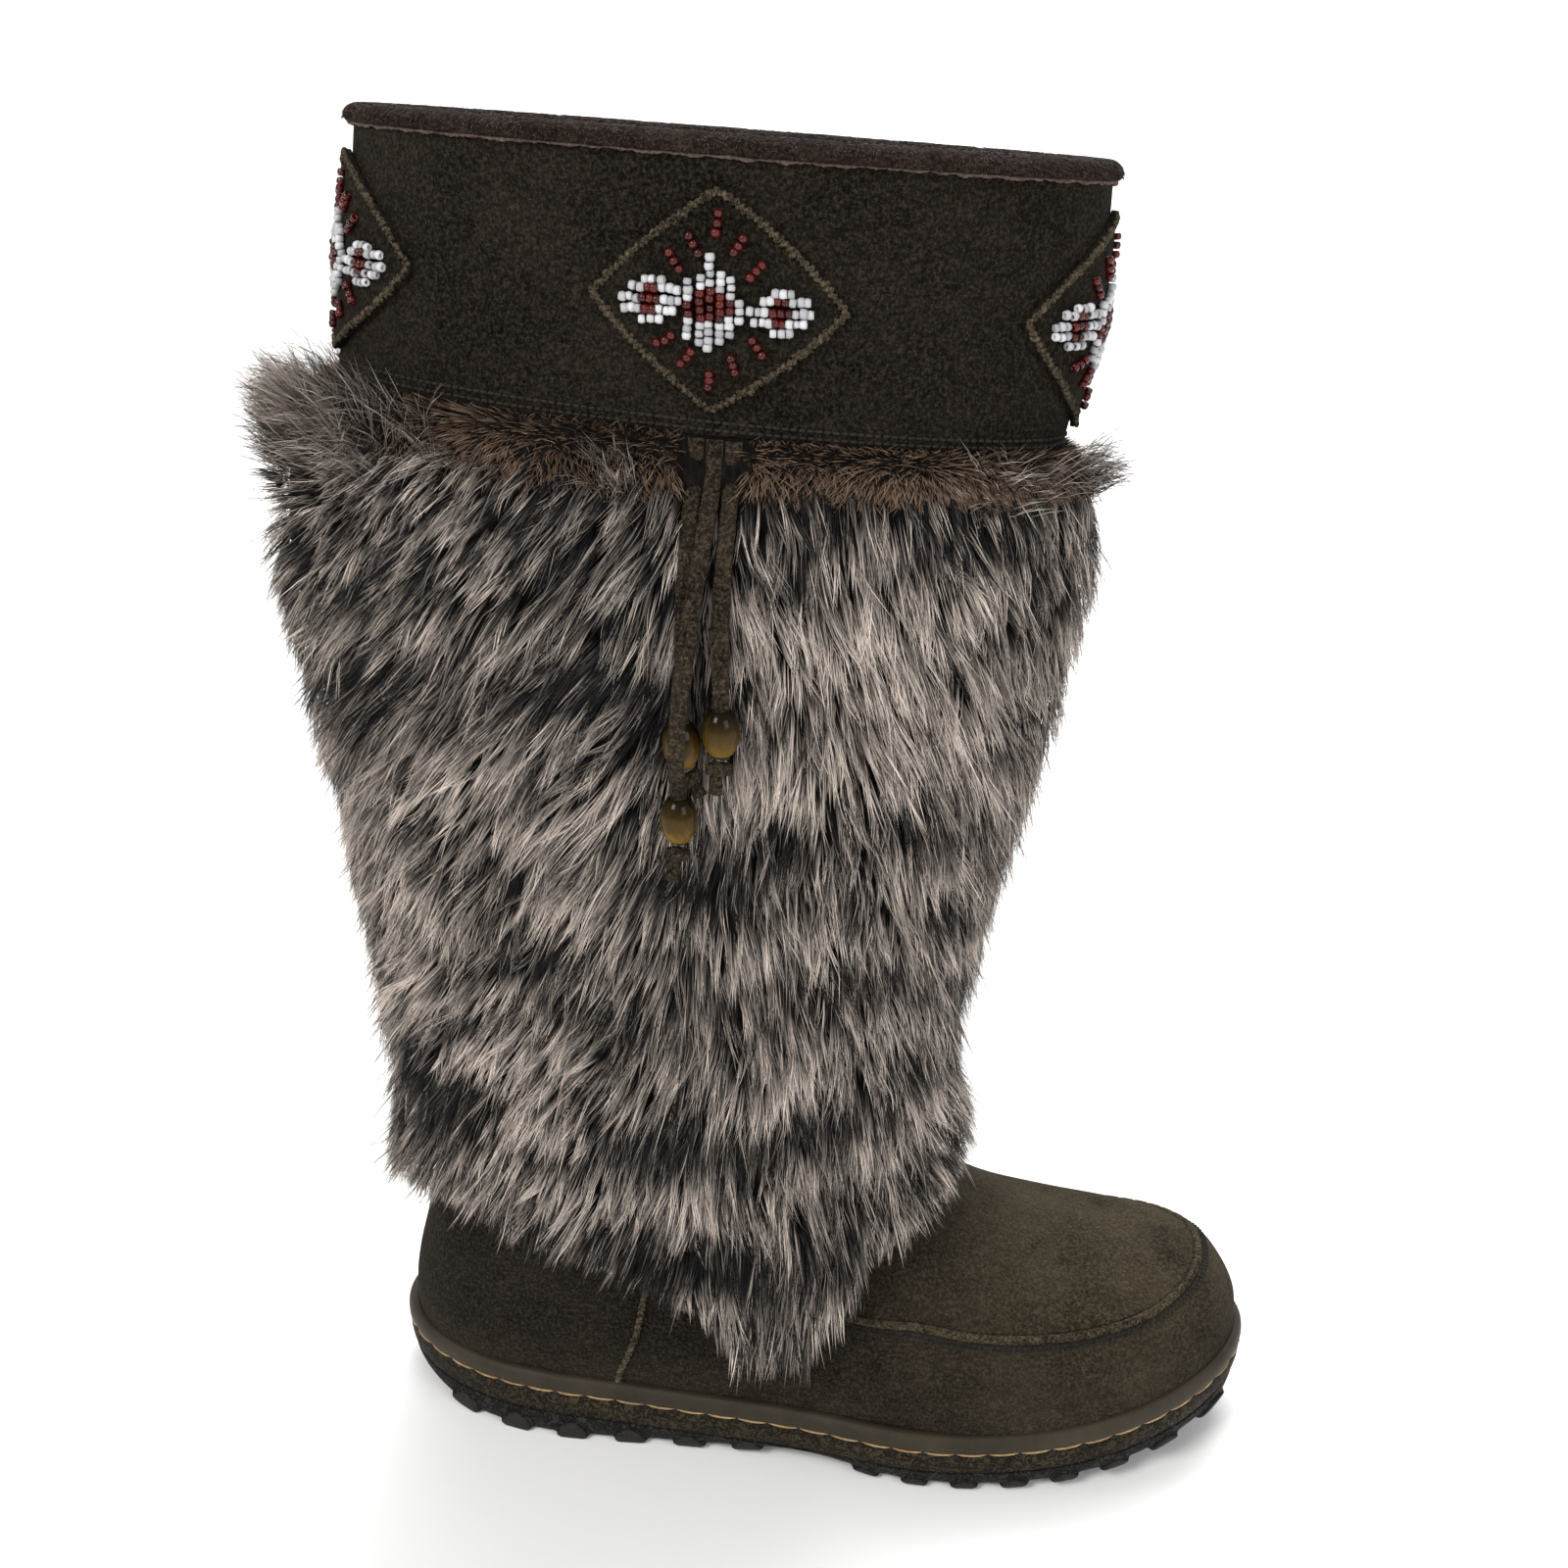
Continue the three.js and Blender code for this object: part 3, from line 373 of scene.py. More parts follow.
# A material whose nodes all come from add: type, settings first, then values or wires
class Finish:
    def __init__(self, name):
        self.material = bpy.data.materials.new(name)
        self.material.use_nodes = True
        self.tree = self.material.node_tree
        self.tree.nodes.clear()

    def add(self, kind, settings=None, values=None, out=0):
        node = self.tree.nodes.new(kind)
        for key, value in (settings or {}).items():
            if key == "stops":
                ramp = node.color_ramp
                while len(ramp.elements) < len(value):
                    ramp.elements.new(0.5)
                for element, (position, colour) in zip(ramp.elements, value):
                    element.position, element.color = position, (*colour, 1)
            else:
                setattr(node, key, value)
        for key, value in (values or {}).items():
            if isinstance(value, Wire):
                self.tree.links.new(value.socket, node.inputs[key])
            else:
                node.inputs[key].default_value = value
        return Wire(self, node.outputs[out]) if node.outputs else None

    def objectPlace(self, stretch=(1, 1, 1)):
        coords = self.add("ShaderNodeTexCoord", out=3)
        return self.add("ShaderNodeVectorMath", {"operation": "MULTIPLY"}, {0: coords, 1: stretch})

    def noise(self, scale, detail=3.0, rough=0.55, at=None, distortion=0.0):
        at = at or self.objectPlace()
        return self.add("ShaderNodeTexNoise", {}, {
            "Vector": at, "Scale": scale, "Detail": detail, "Roughness": rough, "Distortion": distortion})

    def value(self, name):
        return self.add("ShaderNodeAttribute", {"attribute_name": name}, out=2)

    def uv(self):
        coords = self.add("ShaderNodeTexCoord", out=2)
        split = self.add("ShaderNodeSeparateXYZ", {}, {0: coords})
        return split, Wire(self, split.socket.node.outputs[1])

    def ramp(self, wire, stops):
        return self.add("ShaderNodeValToRGB", {"stops": stops}, {0: wire})

    def mix(self, factor, first, second):
        return self.add("ShaderNodeMix", {"data_type": "RGBA"}, {
            0: factor, 6: self.colour(first), 7: self.colour(second)}, out=2)

    def colour(self, value):
        return value if isinstance(value, Wire) else (*value, 1)

    def bump(self, height, strength, distance):
        return self.add("ShaderNodeBump", {}, {"Height": height, "Strength": strength, "Distance": distance})

    def surface(self, colour, roughness, normal=None, **constants):
        values = {"Base Color": self.colour(colour), "Roughness": roughness}
        if normal:
            values["Normal"] = normal
        values.update({key.replace("_", " ").title().replace("Ior", "IOR"): value
                       for key, value in constants.items()})
        shader = self.add("ShaderNodeBsdfPrincipled", {}, values)
        self.add("ShaderNodeOutputMaterial", {}, {0: shader})
        return self.material


def srgb(red, green, blue):
    channels = [v / 255 for v in (red, green, blue)]
    return tuple(c / 12.92 if c <= 0.04045 else ((c + 0.055) / 1.055) ** 2.4 for c in channels)


# Suede: short nap as a dense speckle over brushed patches, lighter towards the toe by wear and on what faces
# up by a painted sheen, darkened beside the seams by painted shade
suedeLook = {"dark": srgb(3, 3, 2), "light": srgb(50, 44, 37), "worn": srgb(74, 66, 51),
             "seam": srgb(5, 4, 3)}


def suedeFinish(name, look, seams=False):
    f = Finish(name)
    clouds = f.noise(34, 3, 0.55)
    strokes = f.noise(210, 3, 0.6, at=f.objectPlace((1.0, 1.0, 1.7)))
    grain = f.noise(950, 3, 0.8)
    nap = f.noise(1500, 2, 0.7, at=f.objectPlace((1.0, 1.0, 0.6)))
    level = (grain.ramp(0.47, 0.66) * 0.75 + nap.ramp(0.45, 0.64) * 0.3 + strokes.ramp(0.35, 0.65) * 0.12
             + clouds.ramp(0.35, 0.65) * 0.16 - 0.04)
    colour = f.mix(level.clamp(), look["dark"], look["light"])
    height = grain * 1.2 + strokes * 0.5
    if seams:
        # the toe's wear and the painted sheen on what faces up, mixed in as one pale brown
        worn = f.value("worn") * (level * 0.75 + clouds.ramp(0.3, 0.7) * 0.22 + 0.15)
        colour = f.mix(worn.clamp(), colour, look["worn"])
        scuff = f.noise(38, 4, 0.6).ramp(0.56, 0.7) * f.value("worn")
        colour = f.mix(scuff * 0.6, colour, look["dark"])
        # painted shade: the suede darkened within 2 mm of the moc seam and of the heel panel's lapped edge,
        # in the groove the bump sinks there
        near = f.value("seamDistance")
        colour = f.mix(near.ramp(2.0, 0.6) * 0.45, colour, look["seam"])
        height = height - near.ramp(1.8, 0.5) * 1.5
        pile = f.mix(f.noise(900, 2, 0.6).ramp(0.35, 0.65), srgb(44, 36, 30), srgb(84, 71, 60))
        colour = f.mix(f.value("lining"), colour, pile)
    normal = f.bump(height, 0.7, 0.0009)
    return f.surface(colour, 0.95, normal, sheen_weight=0.025, sheen_roughness=0.6,
                     sheen_tint=(0.72, 0.66, 0.56, 1), specular_ior_level=0.04)


# Crepe rubber: worm-like pits from stretched noise levels, the pits darkened by painted shade
def crepeFinish(name, dark, light, pitShade):
    f = Finish(name)
    worms = f.noise(360, 1.5, 0.5, distortion=1.4)
    grain = f.noise(1800, 2, 0.6)
    clouds = f.noise(60, 3, 0.6)
    level = (worms - 0.5).maths("ABSOLUTE").ramp(0.0, 0.085)
    colour = f.mix((clouds * 0.6 + grain * 0.4).ramp(0.35, 0.65), dark, light)
    # painted shade: the pits darkened where the bump sinks them
    colour = f.mix((1 - level) * 0.85, colour, pitShade)
    normal = f.bump(level * 1.0 + grain * 0.2, 1.0, 0.0012)
    return f.surface(colour, 0.75, normal, specular_ior_level=0.15)


# Two shades by coarse and fine noise, with the fine noise as bump
def plainFinish(name, dark, light, roughness, scale=160.0, bumpy=0.15, fine=1400.0, **constants):
    f = Finish(name)
    blend = f.noise(scale, 4, 0.6)
    grain = f.noise(fine, 3, 0.6)
    colour = f.mix((blend * 0.7 + grain * 0.3).ramp(0.35, 0.65), dark, light)
    normal = f.bump(grain, bumpy, 0.0003)
    return f.surface(colour, roughness, normal, **constants)


# Hair: dark at the root, its end from dark to pale by the strand's own tone. U of the map is the
# tone, V the way along the strand
def hairFinish(name, root, dark, pale):
    f = Finish(name)
    tone, along = f.uv()
    end = f.mix(tone.ramp(0.12, 0.97) ** 1.2, dark, pale)
    colour = f.mix(along.ramp(0.24, 0.72), root, end)
    return f.surface(colour, 0.6, specular_ior_level=0.12)


suede = suedeFinish("suede", suedeLook, seams=True)
patchSuede = suedeFinish("patchSuede", {**suedeLook, "light": srgb(46, 41, 34)})
thongSuede = suedeFinish("thongSuede", {**suedeLook, "dark": srgb(12, 10, 8), "light": srgb(76, 66, 53)})
ropeSuede = suedeFinish("ropeSuede", {**suedeLook, "dark": srgb(22, 18, 14), "light": srgb(104, 93, 76)})
ridgeSuede = suedeFinish("ridgeSuede", {**suedeLook, "dark": srgb(16, 14, 11), "light": srgb(90, 80, 63)})
furHair = hairFinish("furHair", srgb(5, 5, 5), srgb(21, 20, 20), srgb(224, 209, 197))
pileHair = hairFinish("pileHair", srgb(58, 46, 37), srgb(80, 64, 52), srgb(142, 118, 98))
fuzzHair = hairFinish("fuzzHair", srgb(24, 17, 14), srgb(52, 40, 35), srgb(92, 74, 66))
print("finishes made")


# The thongs: three free flat cords from under the cuff, each route a row of points
thongs = {
    "width": 4.4, "depth": 1.5,
    "left": [[110.0, -45.2, 323.6], [109.8, -47.5, 314.5], [109.6, -54.6, 303.0], [109.2, -60.2, 289.0],
             [108.8, -61.8, 274.0], [108.5, -63.6, 260.0], [108.5, -64.2, 252.0], [108.5, -64.2, 244.0],
             [108.7, -63.8, 241.4]],
    "middle": [[114.9, -45.2, 323.2], [114.7, -48.0, 314.0], [114.2, -56.8, 303.0], [112.4, -62.8, 289.0],
               [110.6, -67.0, 273.0], [109.0, -70.6, 258.0], [108.2, -71.0, 248.0], [107.8, -69.0, 242.0],
               [107.7, -66.2, 236.4], [107.6, -65.7, 232.0], [107.6, -65.7, 226.0], [107.6, -65.6, 220.9]],
    "right": [[119.8, -45.1, 322.8], [119.6, -47.5, 313.5], [119.2, -55.0, 302.0], [118.7, -60.2, 288.0],
              [118.6, -62.4, 273.0], [118.8, -64.2, 262.0], [118.8, -64.6, 254.0], [118.8, -64.6, 244.8]],
}
tasselEnds = {  # bead, then knot, then the tail's end in X and Z
    "left": ([108.5, -64.2, 248.2], [109.3, -63.2, 240.2], [112.8, 233.5]),
    "middle": ([107.6, -65.7, 228.0], [107.4, -65.6, 220.0], [105.0, 210.4]),
    "right": ([118.8, -64.6, 252.0], [118.6, -64.6, 244.0], [116.6, 235.0]),
}


# Smooth curve through the route's points, resampled evenly by its length
def smoothRoute(route, count):
    rows = np.asarray(route, float)
    place = np.linspace(0, len(rows) - 1, 400)
    fine = np.stack([columnAt(rows, i, place) for i in range(3)], -1)
    length = lengthsOf(fine)
    return alongPath(np.linspace(0, length[-1], count), length, fine), length[-1]


# Strip: a rounded rectangle along the route, its width uneven by two sines, turning a little
def makeThongs():
    beadFinish = amberFinish()
    steps = np.arange(70)
    for side, (bead, knot, tail) in tasselEnds.items():
        path, length = smoothRoute(thongs[side], len(steps))
        across = np.array([1.0, 0, 0]) + 0.03 * np.sin(steps / 6.0)[:, None] * np.array([0, 1.0, 0])
        edge = 1 + 0.03 * np.sin(steps * 1.7) + 0.02 * np.sin(steps * 0.63 + 1)
        points, quads, caps = tubeMesh(path, across, thongs["width"] / 2 * edge, thongs["depth"] / 2 * edge,
                                       12, 4.0)
        piece = meshPiece(f"thong_strip_{side}", points, [quads, caps], thongSuede)
        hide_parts(f"thong_{side}")
        beadPiece = thongBead(f"olive_bead_{side}", bead, beadFinish)
        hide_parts(f"thong_bead_{side}")
        knotPiece = thongKnot(f"knot_{side}", knot, tail)
        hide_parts(f"thong_knot_{side}")
        print("thong", side, round(length, 1), "mm")


# Olive bead: olive-amber glass with painted light, dark at the top by painted shade and golden towards the
# bottom by a painted glow of light through the glass, broken by a stretched swirl
def amberFinish():
    f = Finish("oliveBead")
    swirl = f.noise(170, 3, 0.6, at=f.objectPlace((1, 1, 0.5)), distortion=1.5)
    level = f.value("down") * 0.75 + swirl * 0.4 - 0.2
    colour = f.ramp(level, [(0.12, srgb(20, 15, 5)), (0.45, srgb(66, 49, 15)), (0.85, srgb(132, 101, 40))])
    return f.surface(colour, 0.16, coat_weight=0.12, coat_roughness=0.03, specular_ior_level=0.06)


# Oval bead: half sizes by sine and cosine of the way down, with a straight bore through it
def thongBead(name, centre, finish):
    size = {"wide": 5.0, "high": 7.1, "bore": 2.6, "rings": 30, "round": 40, "inset": 0.15, "chamfer": 0.5}
    start = math.asin(size["bore"] / size["wide"])
    way = np.linspace(start, math.pi - start, size["rings"])
    radius = np.concatenate([size["wide"] * np.sin(way), [size["bore"] - size["inset"]] * 2])
    end = size["high"] * math.cos(start) - size["chamfer"]
    height = np.concatenate([-size["high"] * np.cos(way), [end, -end]])
    turn = fullTurn(size["round"])
    ring = np.stack([np.cos(turn), np.sin(turn)], -1)
    tall = np.broadcast_to(height[:, None, None], (len(radius), size["round"], 1))
    points = np.concatenate([radius[:, None, None] * ring[None], tall], -1)
    # down runs from 0 at the top to 1 at the bottom, for the bead's painted shade and glow
    down = np.repeat(0.5 - height / size["high"] / 2, size["round"])
    faces = gridFaces(len(radius), size["round"], closeRows=True)
    return meshPiece(name, points + np.array(centre), [faces], finish, values={"down": down})


# Knot: a flat band wrapped once round the end, and the cut tail that leaves it
def thongKnot(name, centre, tail):
    knot = {"drop": 2.1, "wide": 2.75, "deep": 1.35, "slant": 0.55, "band": 1.55, "thick": 0.7,
            "square": 3.5, "round": 40, "sides": 12, "tailHalf": 1.7, "tailSway": 0.35}
    centre, outward = np.array(centre), np.array([0, 1.0, 0])
    down = unit(np.array([tail[0] - centre[0], 0, tail[1] - centre[2]]))
    side = np.cross(outward, down)
    long = math.hypot(tail[0] - centre[0], tail[1] - centre[2])
    c, s = np.cos(fullTurn(knot["round"]))[:, None], np.sin(fullTurn(knot["round"]))[:, None]
    loop = (centre + down * knot["drop"] + side * knot["wide"] * c + outward * knot["deep"] * s
            + down * knot["slant"] * c)
    away = unit(loop - centre - down * knot["drop"])
    rings = []
    for angle in fullTurn(knot["sides"]):
        c, s = math.cos(angle), math.sin(angle)
        radius = squareRadius(c, s, knot["square"])
        rings.append(loop + down * radius * c * knot["band"] + away * radius * s * knot["thick"])
    band = np.stack(rings, 1)
    bandFaces = gridFaces(knot["round"], knot["sides"], closeRows=True)[:, ::-1]
    steps = np.linspace(0, 1, 14)[:, None]
    path = centre + down * (0.4 + steps * (long - 0.4)) + side * knot["tailSway"] * np.sin(steps * 5)
    tail = tubeMesh(path, side, knot["tailHalf"] + 0.2 * steps[:, 0], knot["thick"], knot["sides"], 4.0)
    points, faces = join([(band.reshape(-1, 3), bandFaces), tail])
    return meshPiece(name, points, faces, thongSuede)


makeThongs()

# The upper's moccasin seam: place and turn of each row from the end to the toe
mocRows = np.array([[11.2, 1.38], [9.7, 1.26], [8.8, 1.13], [7.8, 1.04], [6.9, 0.98], [5.9, 0.93],
                    [4.9, 0.83], [3.9, 0.6], [3.42, 0.3], [3.3, 0]])
# Soft troughs of the worn suede: place and turn of start and end, width and depth in mm
creases = [
    ((7.6, -1.62), (9.3, -1.3), 6.0, 0.8),
    ((6.4, -1.75), (8.0, -1.5), 7.0, 0.55),
    ((8.2, -0.55), (8.0, 0.5), 5.0, 0.7),
    ((7.1, -0.6), (7.0, 0.45), 6.0, 0.45),
    ((7.8, 1.62), (9.2, 1.3), 6.0, 0.8),
    ((14.8, -2.2), (17.0, -2.3), 7.0, 0.5),
]


# Moccasin seam from the outer end (across -1) over the toe to the inner end (across 1)
def mocLine(across):
    row = (1 - np.abs(across)) * (len(mocRows) - 1)
    return columnAt(mocRows, 0, row), np.sign(across) * columnAt(mocRows, 1, row)


# X and Z of the heel panel's front edge
heelSeam = np.array([[77.5, 14.0], [80.2, 27.0], [86.4, 43.0], [91.5, 70.0]])


def heelSeamX(z):
    return np.interp(z, heelSeam[:, 1], heelSeam[:, 0])


# Nearest distance to the points of a line, a few points of it at a time
def distanceTo(points, line):
    nearest = np.full(len(points), 1e9)
    for start in range(0, len(line), 24):
        part = line[start:start + 24]
        nearest = np.minimum(nearest, np.sqrt(((points[:, None] - part[None]) ** 2).sum(-1)).min(1))
    return nearest


# Upper: the last's own surface as a grid, thicker by a step at the cuff and heel panel, with a trough
# along each crease and a low swell beside it, and the same surface again a wall inside
def makeUpper():
    grid = {"toe": 92, "ankle": 118, "shaft": 14, "cuff": 26, "round": 168, "inside": 24, "insideToe": 10}
    foot = np.concatenate([np.linspace(0, 8.4, grid["toe"], endpoint=False),
                           np.linspace(8.4, 19.5, grid["ankle"], endpoint=False),
                           np.linspace(19.5, 24.96, grid["shaft"])])
    step = np.array([[24.985, 0.1], [25.0, 0.3], [25.0, 0.95], [25.02, 1.3], [25.05, 1.4]])  # place and grow
    cuff = np.linspace(25.09, collarPlace, grid["cuff"])
    places = np.concatenate([foot, step[:, 0], cuff])
    grows = np.concatenate([np.zeros(len(foot)), step[:, 1], np.full(len(cuff), cuffStep)])
    turn = fullTurn(grid["round"])
    place2, turn2 = np.meshgrid(places, turn, indexing="ij")
    grow2 = np.broadcast_to(grows[:, None], place2.shape).copy()
    base = lastPoint(place2, turn2)
    normal = skinNormal(place2, turn2)
    flat = base.reshape(-1, 3)
    # lapped heel panel, one layer thicker behind its seam
    behind = np.clip((heelSeamX(flat[:, 2]) - flat[:, 0]) / 0.9, 0, 1)
    heelPanel = behind * np.clip((72 - flat[:, 2]) / 3, 0, 1)
    grow2 += (heelPanel * counterStep).reshape(grow2.shape)
    for start, end, width, depth in creases:
        start, end = lastPoint(*start), lastPoint(*end)
        way = end - start
        share = np.clip(((base - start) @ way) / (way @ way), 0, 1)
        offset = base - start - share[..., None] * way
        offset[..., 2] += 2.0 * np.sin(share * np.pi)
        far = np.linalg.norm(offset, axis=-1) / width
        taper = np.sin(np.clip(share, 0.02, 0.98) * np.pi) ** 0.5
        swell = 0.55 * np.exp(-((far - 1.1) ** 2) / 0.3)
        grow2 += depth * taper * (swell - np.exp(-far ** 2 * 1.6)) * (place2 < 20)
    # light waves of the soft cuff
    wave = np.sin(turn2 * 3 + 0.8) * 0.5 + np.sin(turn2 * 5 - 1.1 + place2) * 0.35
    grow2 += np.clip(place2 - 25.6, 0, 1.2) * 0.35 * wave
    outer = base + normal * grow2[..., None]
    insidePlaces = np.concatenate([[collarPlace + 0.05, collarPlace], np.linspace(27.6, 8.6, grid["inside"]),
                                   np.linspace(8.0, 0.35, grid["insideToe"])])
    insideGrow = np.concatenate([[-0.6], np.full(len(insidePlaces) - 1, -wall)])
    inner = skinPoint(insidePlaces[:, None], turn[None], insideGrow[:, None])
    # sole side: the outer skin ends flat on the seat, the inner one just above it
    outer[..., 2] = np.maximum(outer[..., 2], seatHeight(outer[..., 0]) + 0.05)
    inner[..., 2] = np.maximum(inner[..., 2], seatHeight(inner[..., 0]) + 0.25)
    points = np.concatenate([outer, inner]).reshape(-1, 3)
    quads = gridFaces(len(outer) + len(inner), grid["round"])
    outside = len(outer) * grid["round"]
    # distance to the moc seam and to just in front of the heel panel's edge, for the painted shade beside
    # them
    seamDistance = np.full(len(points), 20.0)
    footPart = np.where((points[:, 2] < 125) & (np.arange(len(points)) < outside))[0]
    skin = points[footPart]
    toMoc = distanceTo(skin, lastPoint(*mocLine(np.linspace(-1, 1, 260))))
    toHeel = np.where(skin[:, 2] < 70, np.abs(skin[:, 0] - heelSeamX(skin[:, 2]) - 0.6) * 2.2, 20)
    seamDistance[footPart] = np.minimum(toMoc, toHeel)
    lining = np.zeros(len(points))
    lining[outside + grid["round"]:] = 1
    # paler and browner towards the toe by wear, more so on what faces up as a painted sheen, and a little
    # paler in a band just above the welt
    facing = np.concatenate([normal[..., 2].ravel(), np.zeros(len(points) - outside)])
    worn = np.clip((points[:, 0] - 120) / 110, 0, 1) * (points[:, 2] < 130)
    worn = worn * (0.55 + 0.35 * np.clip(facing, 0, 1))
    worn = np.maximum(worn, np.exp(-((points[:, 2] - 25) / 9) ** 2) * 0.25)
    piece = meshPiece("suede_upper", points, [quads], suede,
                      values={"seamDistance": seamDistance, "lining": lining, "worn": worn})
    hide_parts("upper")
    print("upper", len(quads) * 2, "triangles")


makeUpper()


# Moccasin seam: a rounded ridge along its line, drawn in a little at each gather
def makeMocSeam():
    band = {"width": 2.7, "height": 1.3, "pitch": 5.2, "stitch": 1.75, "steps": 620}
    place, turn = mocLine(np.linspace(-1, 1, band["steps"]))
    base = lastPoint(place, turn)
    normal = skinNormal(place, turn)
    length = lengthsOf(base)
    pull = np.exp(-(((length + 2) % band["pitch"] - 2) / 0.5) ** 2)
    ends = np.clip(length / 3, 0.1, 1) * np.clip((length[-1] - length) / 3, 0.1, 1)
    side = np.cross(normal, unit(np.gradient(base, axis=0)))
    side = side * np.sign(-side[:, 2:3])
    points, quads, caps = tubeMesh(base - normal * 0.15, side, band["width"] / 2 * (1 - 0.1 * pull) * ends,
                                   band["height"] * (1 - 0.2 * pull), 14, 2.3)
    piece = meshPiece("moc_seam", points, [quads, caps], ridgeSuede)
    rows = []
    for off, shift in ((2.1, 0.0), (3.3, 0.9)):
        path = base + side * off + normal * 0.05
        rows.append(stitchRow(path[int(shift * 3):], normal[int(shift * 3):], band["stitch"], 1.3, 0.42))
    stitchPiece("moc_stitches", rows, darkThread)


# Raw edge of the lapped heel panel: a thin uneven tube along its front edge, on both sides of the shoe
def makeHeelEdge():
    z = np.linspace(heelSeam[0, 1], heelSeam[-1, 1], 90)
    x = heelSeamX(z)
    parts = []
    for side in (-1, 1):
        place, turn = np.meshgrid(np.linspace(9.6, 13, 160), side * np.linspace(1.2, 2.6, 240),
                                  indexing="ij")
        skin = lastPoint(place, turn)[..., [0, 2]].reshape(-1, 2)
        nearest = ((skin[None] - np.stack([x, z], -1)[:, None]) ** 2).sum(-1).argmin(1)
        p, t = place.ravel()[nearest], turn.ravel()[nearest]
        path = skinPoint(p, t, counterStep * 0.75)
        keep = path[:, 2] > seatHeight(path[:, 0]) + 4
        path, out = path[keep], skinNormal(p, t)[keep]
        for _ in range(6):
            path[1:-1] = (path[:-2] + path[1:-1] + path[2:]) / 3
        ruffle = 1 + 0.35 * np.sin(np.arange(len(path)) * 1.9) * np.sin(np.arange(len(path)) * 0.37)
        points, quads, caps = tubeMesh(path, np.cross(out, unit(np.gradient(path, axis=0))), 1.05 * ruffle,
                                       0.6 * ruffle, 8)
        parts.append((points, quads, caps))
    points, faces = join(parts)
    piece = meshPiece("heel_panel_edge", points, faces, ropeSuede)


# Stitches: short capsules along a line, each sunk at its ends by the cube of the way from its middle
def stitchRow(path, out, pitch, long, radius, sag=0.0, dip=0.6):
    length = lengthsOf(path)
    middles = np.arange(pitch / 2, length[-1] - pitch / 3, pitch)
    way = np.linspace(-0.5, 0.5, 6)
    at = middles[:, None] + way[None] * long
    centre, lift = alongPath(at, length, path), alongPath(at, length, out)
    centre = centre - lift * (dip * (2 * np.abs(way[None, :, None])) ** 3) * radius
    centre[..., 2] -= sag * (1 - (2 * way) ** 2)
    travel = unit(np.gradient(centre, axis=1))
    side = unit(np.cross(lift, travel))
    turn = fullTurn(6)
    thick = radius * np.sqrt(np.maximum(0.05, 1 - (np.abs(way) * 1.9) ** 4))
    c, s = np.cos(turn)[None, None, :, None], np.sin(turn)[None, None, :, None]
    ring = side[:, :, None] * c + unit(lift)[:, :, None] * s
    points = centre[:, :, None] + ring * thick[None, :, None, None]
    count, rows, sides = points.shape[:3]
    faces = gridFaces(rows, sides)
    ends = np.stack([np.arange(sides)[::-1], (rows - 1) * sides + np.arange(sides)])
    offset = (np.arange(count) * rows * sides)[:, None, None]
    return points.reshape(-1, 3), (faces[None] + offset).reshape(-1, 4), (ends[None] + offset).reshape(-1, 6)


def stitchPiece(name, rows, finish):
    offsets = np.cumsum([0] + [len(row[0]) for row in rows])
    piece = meshPiece(name, np.concatenate([row[0] for row in rows]),
                      [np.concatenate([row[k] + offset for row, offset in zip(rows, offsets)])
                       for k in (1, 2)], finish)


darkThread = plainFinish("darkThread", srgb(5, 4, 4), srgb(14, 12, 10), 0.9, scale=400.0, bumpy=0.3)
makeMocSeam()
makeHeelEdge()
print("upper seams made")


# Cuff: arc length round it from the front, outer side first
cuffMiddle = 26.45
cuffTurns = -np.linspace(0, 2 * np.pi, 721)
cuffArcs = lengthsOf(lastPoint(cuffMiddle, cuffTurns))


def cuffTurn(arc):
    return np.interp(np.mod(arc, cuffArcs[-1]), cuffArcs, cuffTurns)


def cuffPoint(arc, rise, grow):
    return skinPoint(cuffMiddle + np.asarray(rise) / cuffPitch, cuffTurn(np.asarray(arc, float)), grow)


# Directions on the cuff: along the arc, up and outward
def cuffAxes(arc, rise):
    along = unit(cuffPoint(arc + 0.5, rise, 0) - cuffPoint(arc - 0.5, rise, 0))
    out = skinNormal(cuffMiddle + np.asarray(rise) / cuffPitch, cuffTurn(arc))
    return along, np.cross(out, along) * -1, out


# Grow and rise on the roll's round: an ellipse from its outside, over the top, to its inside
def rollRound(roll, way):
    middle, half = (roll["outer"] + roll["inner"]) / 2, (roll["outer"] - roll["inner"]) / 2
    return middle + half * np.cos(way), roll["foot"] + (roll["top"] - roll["foot"]) * np.sin(way)


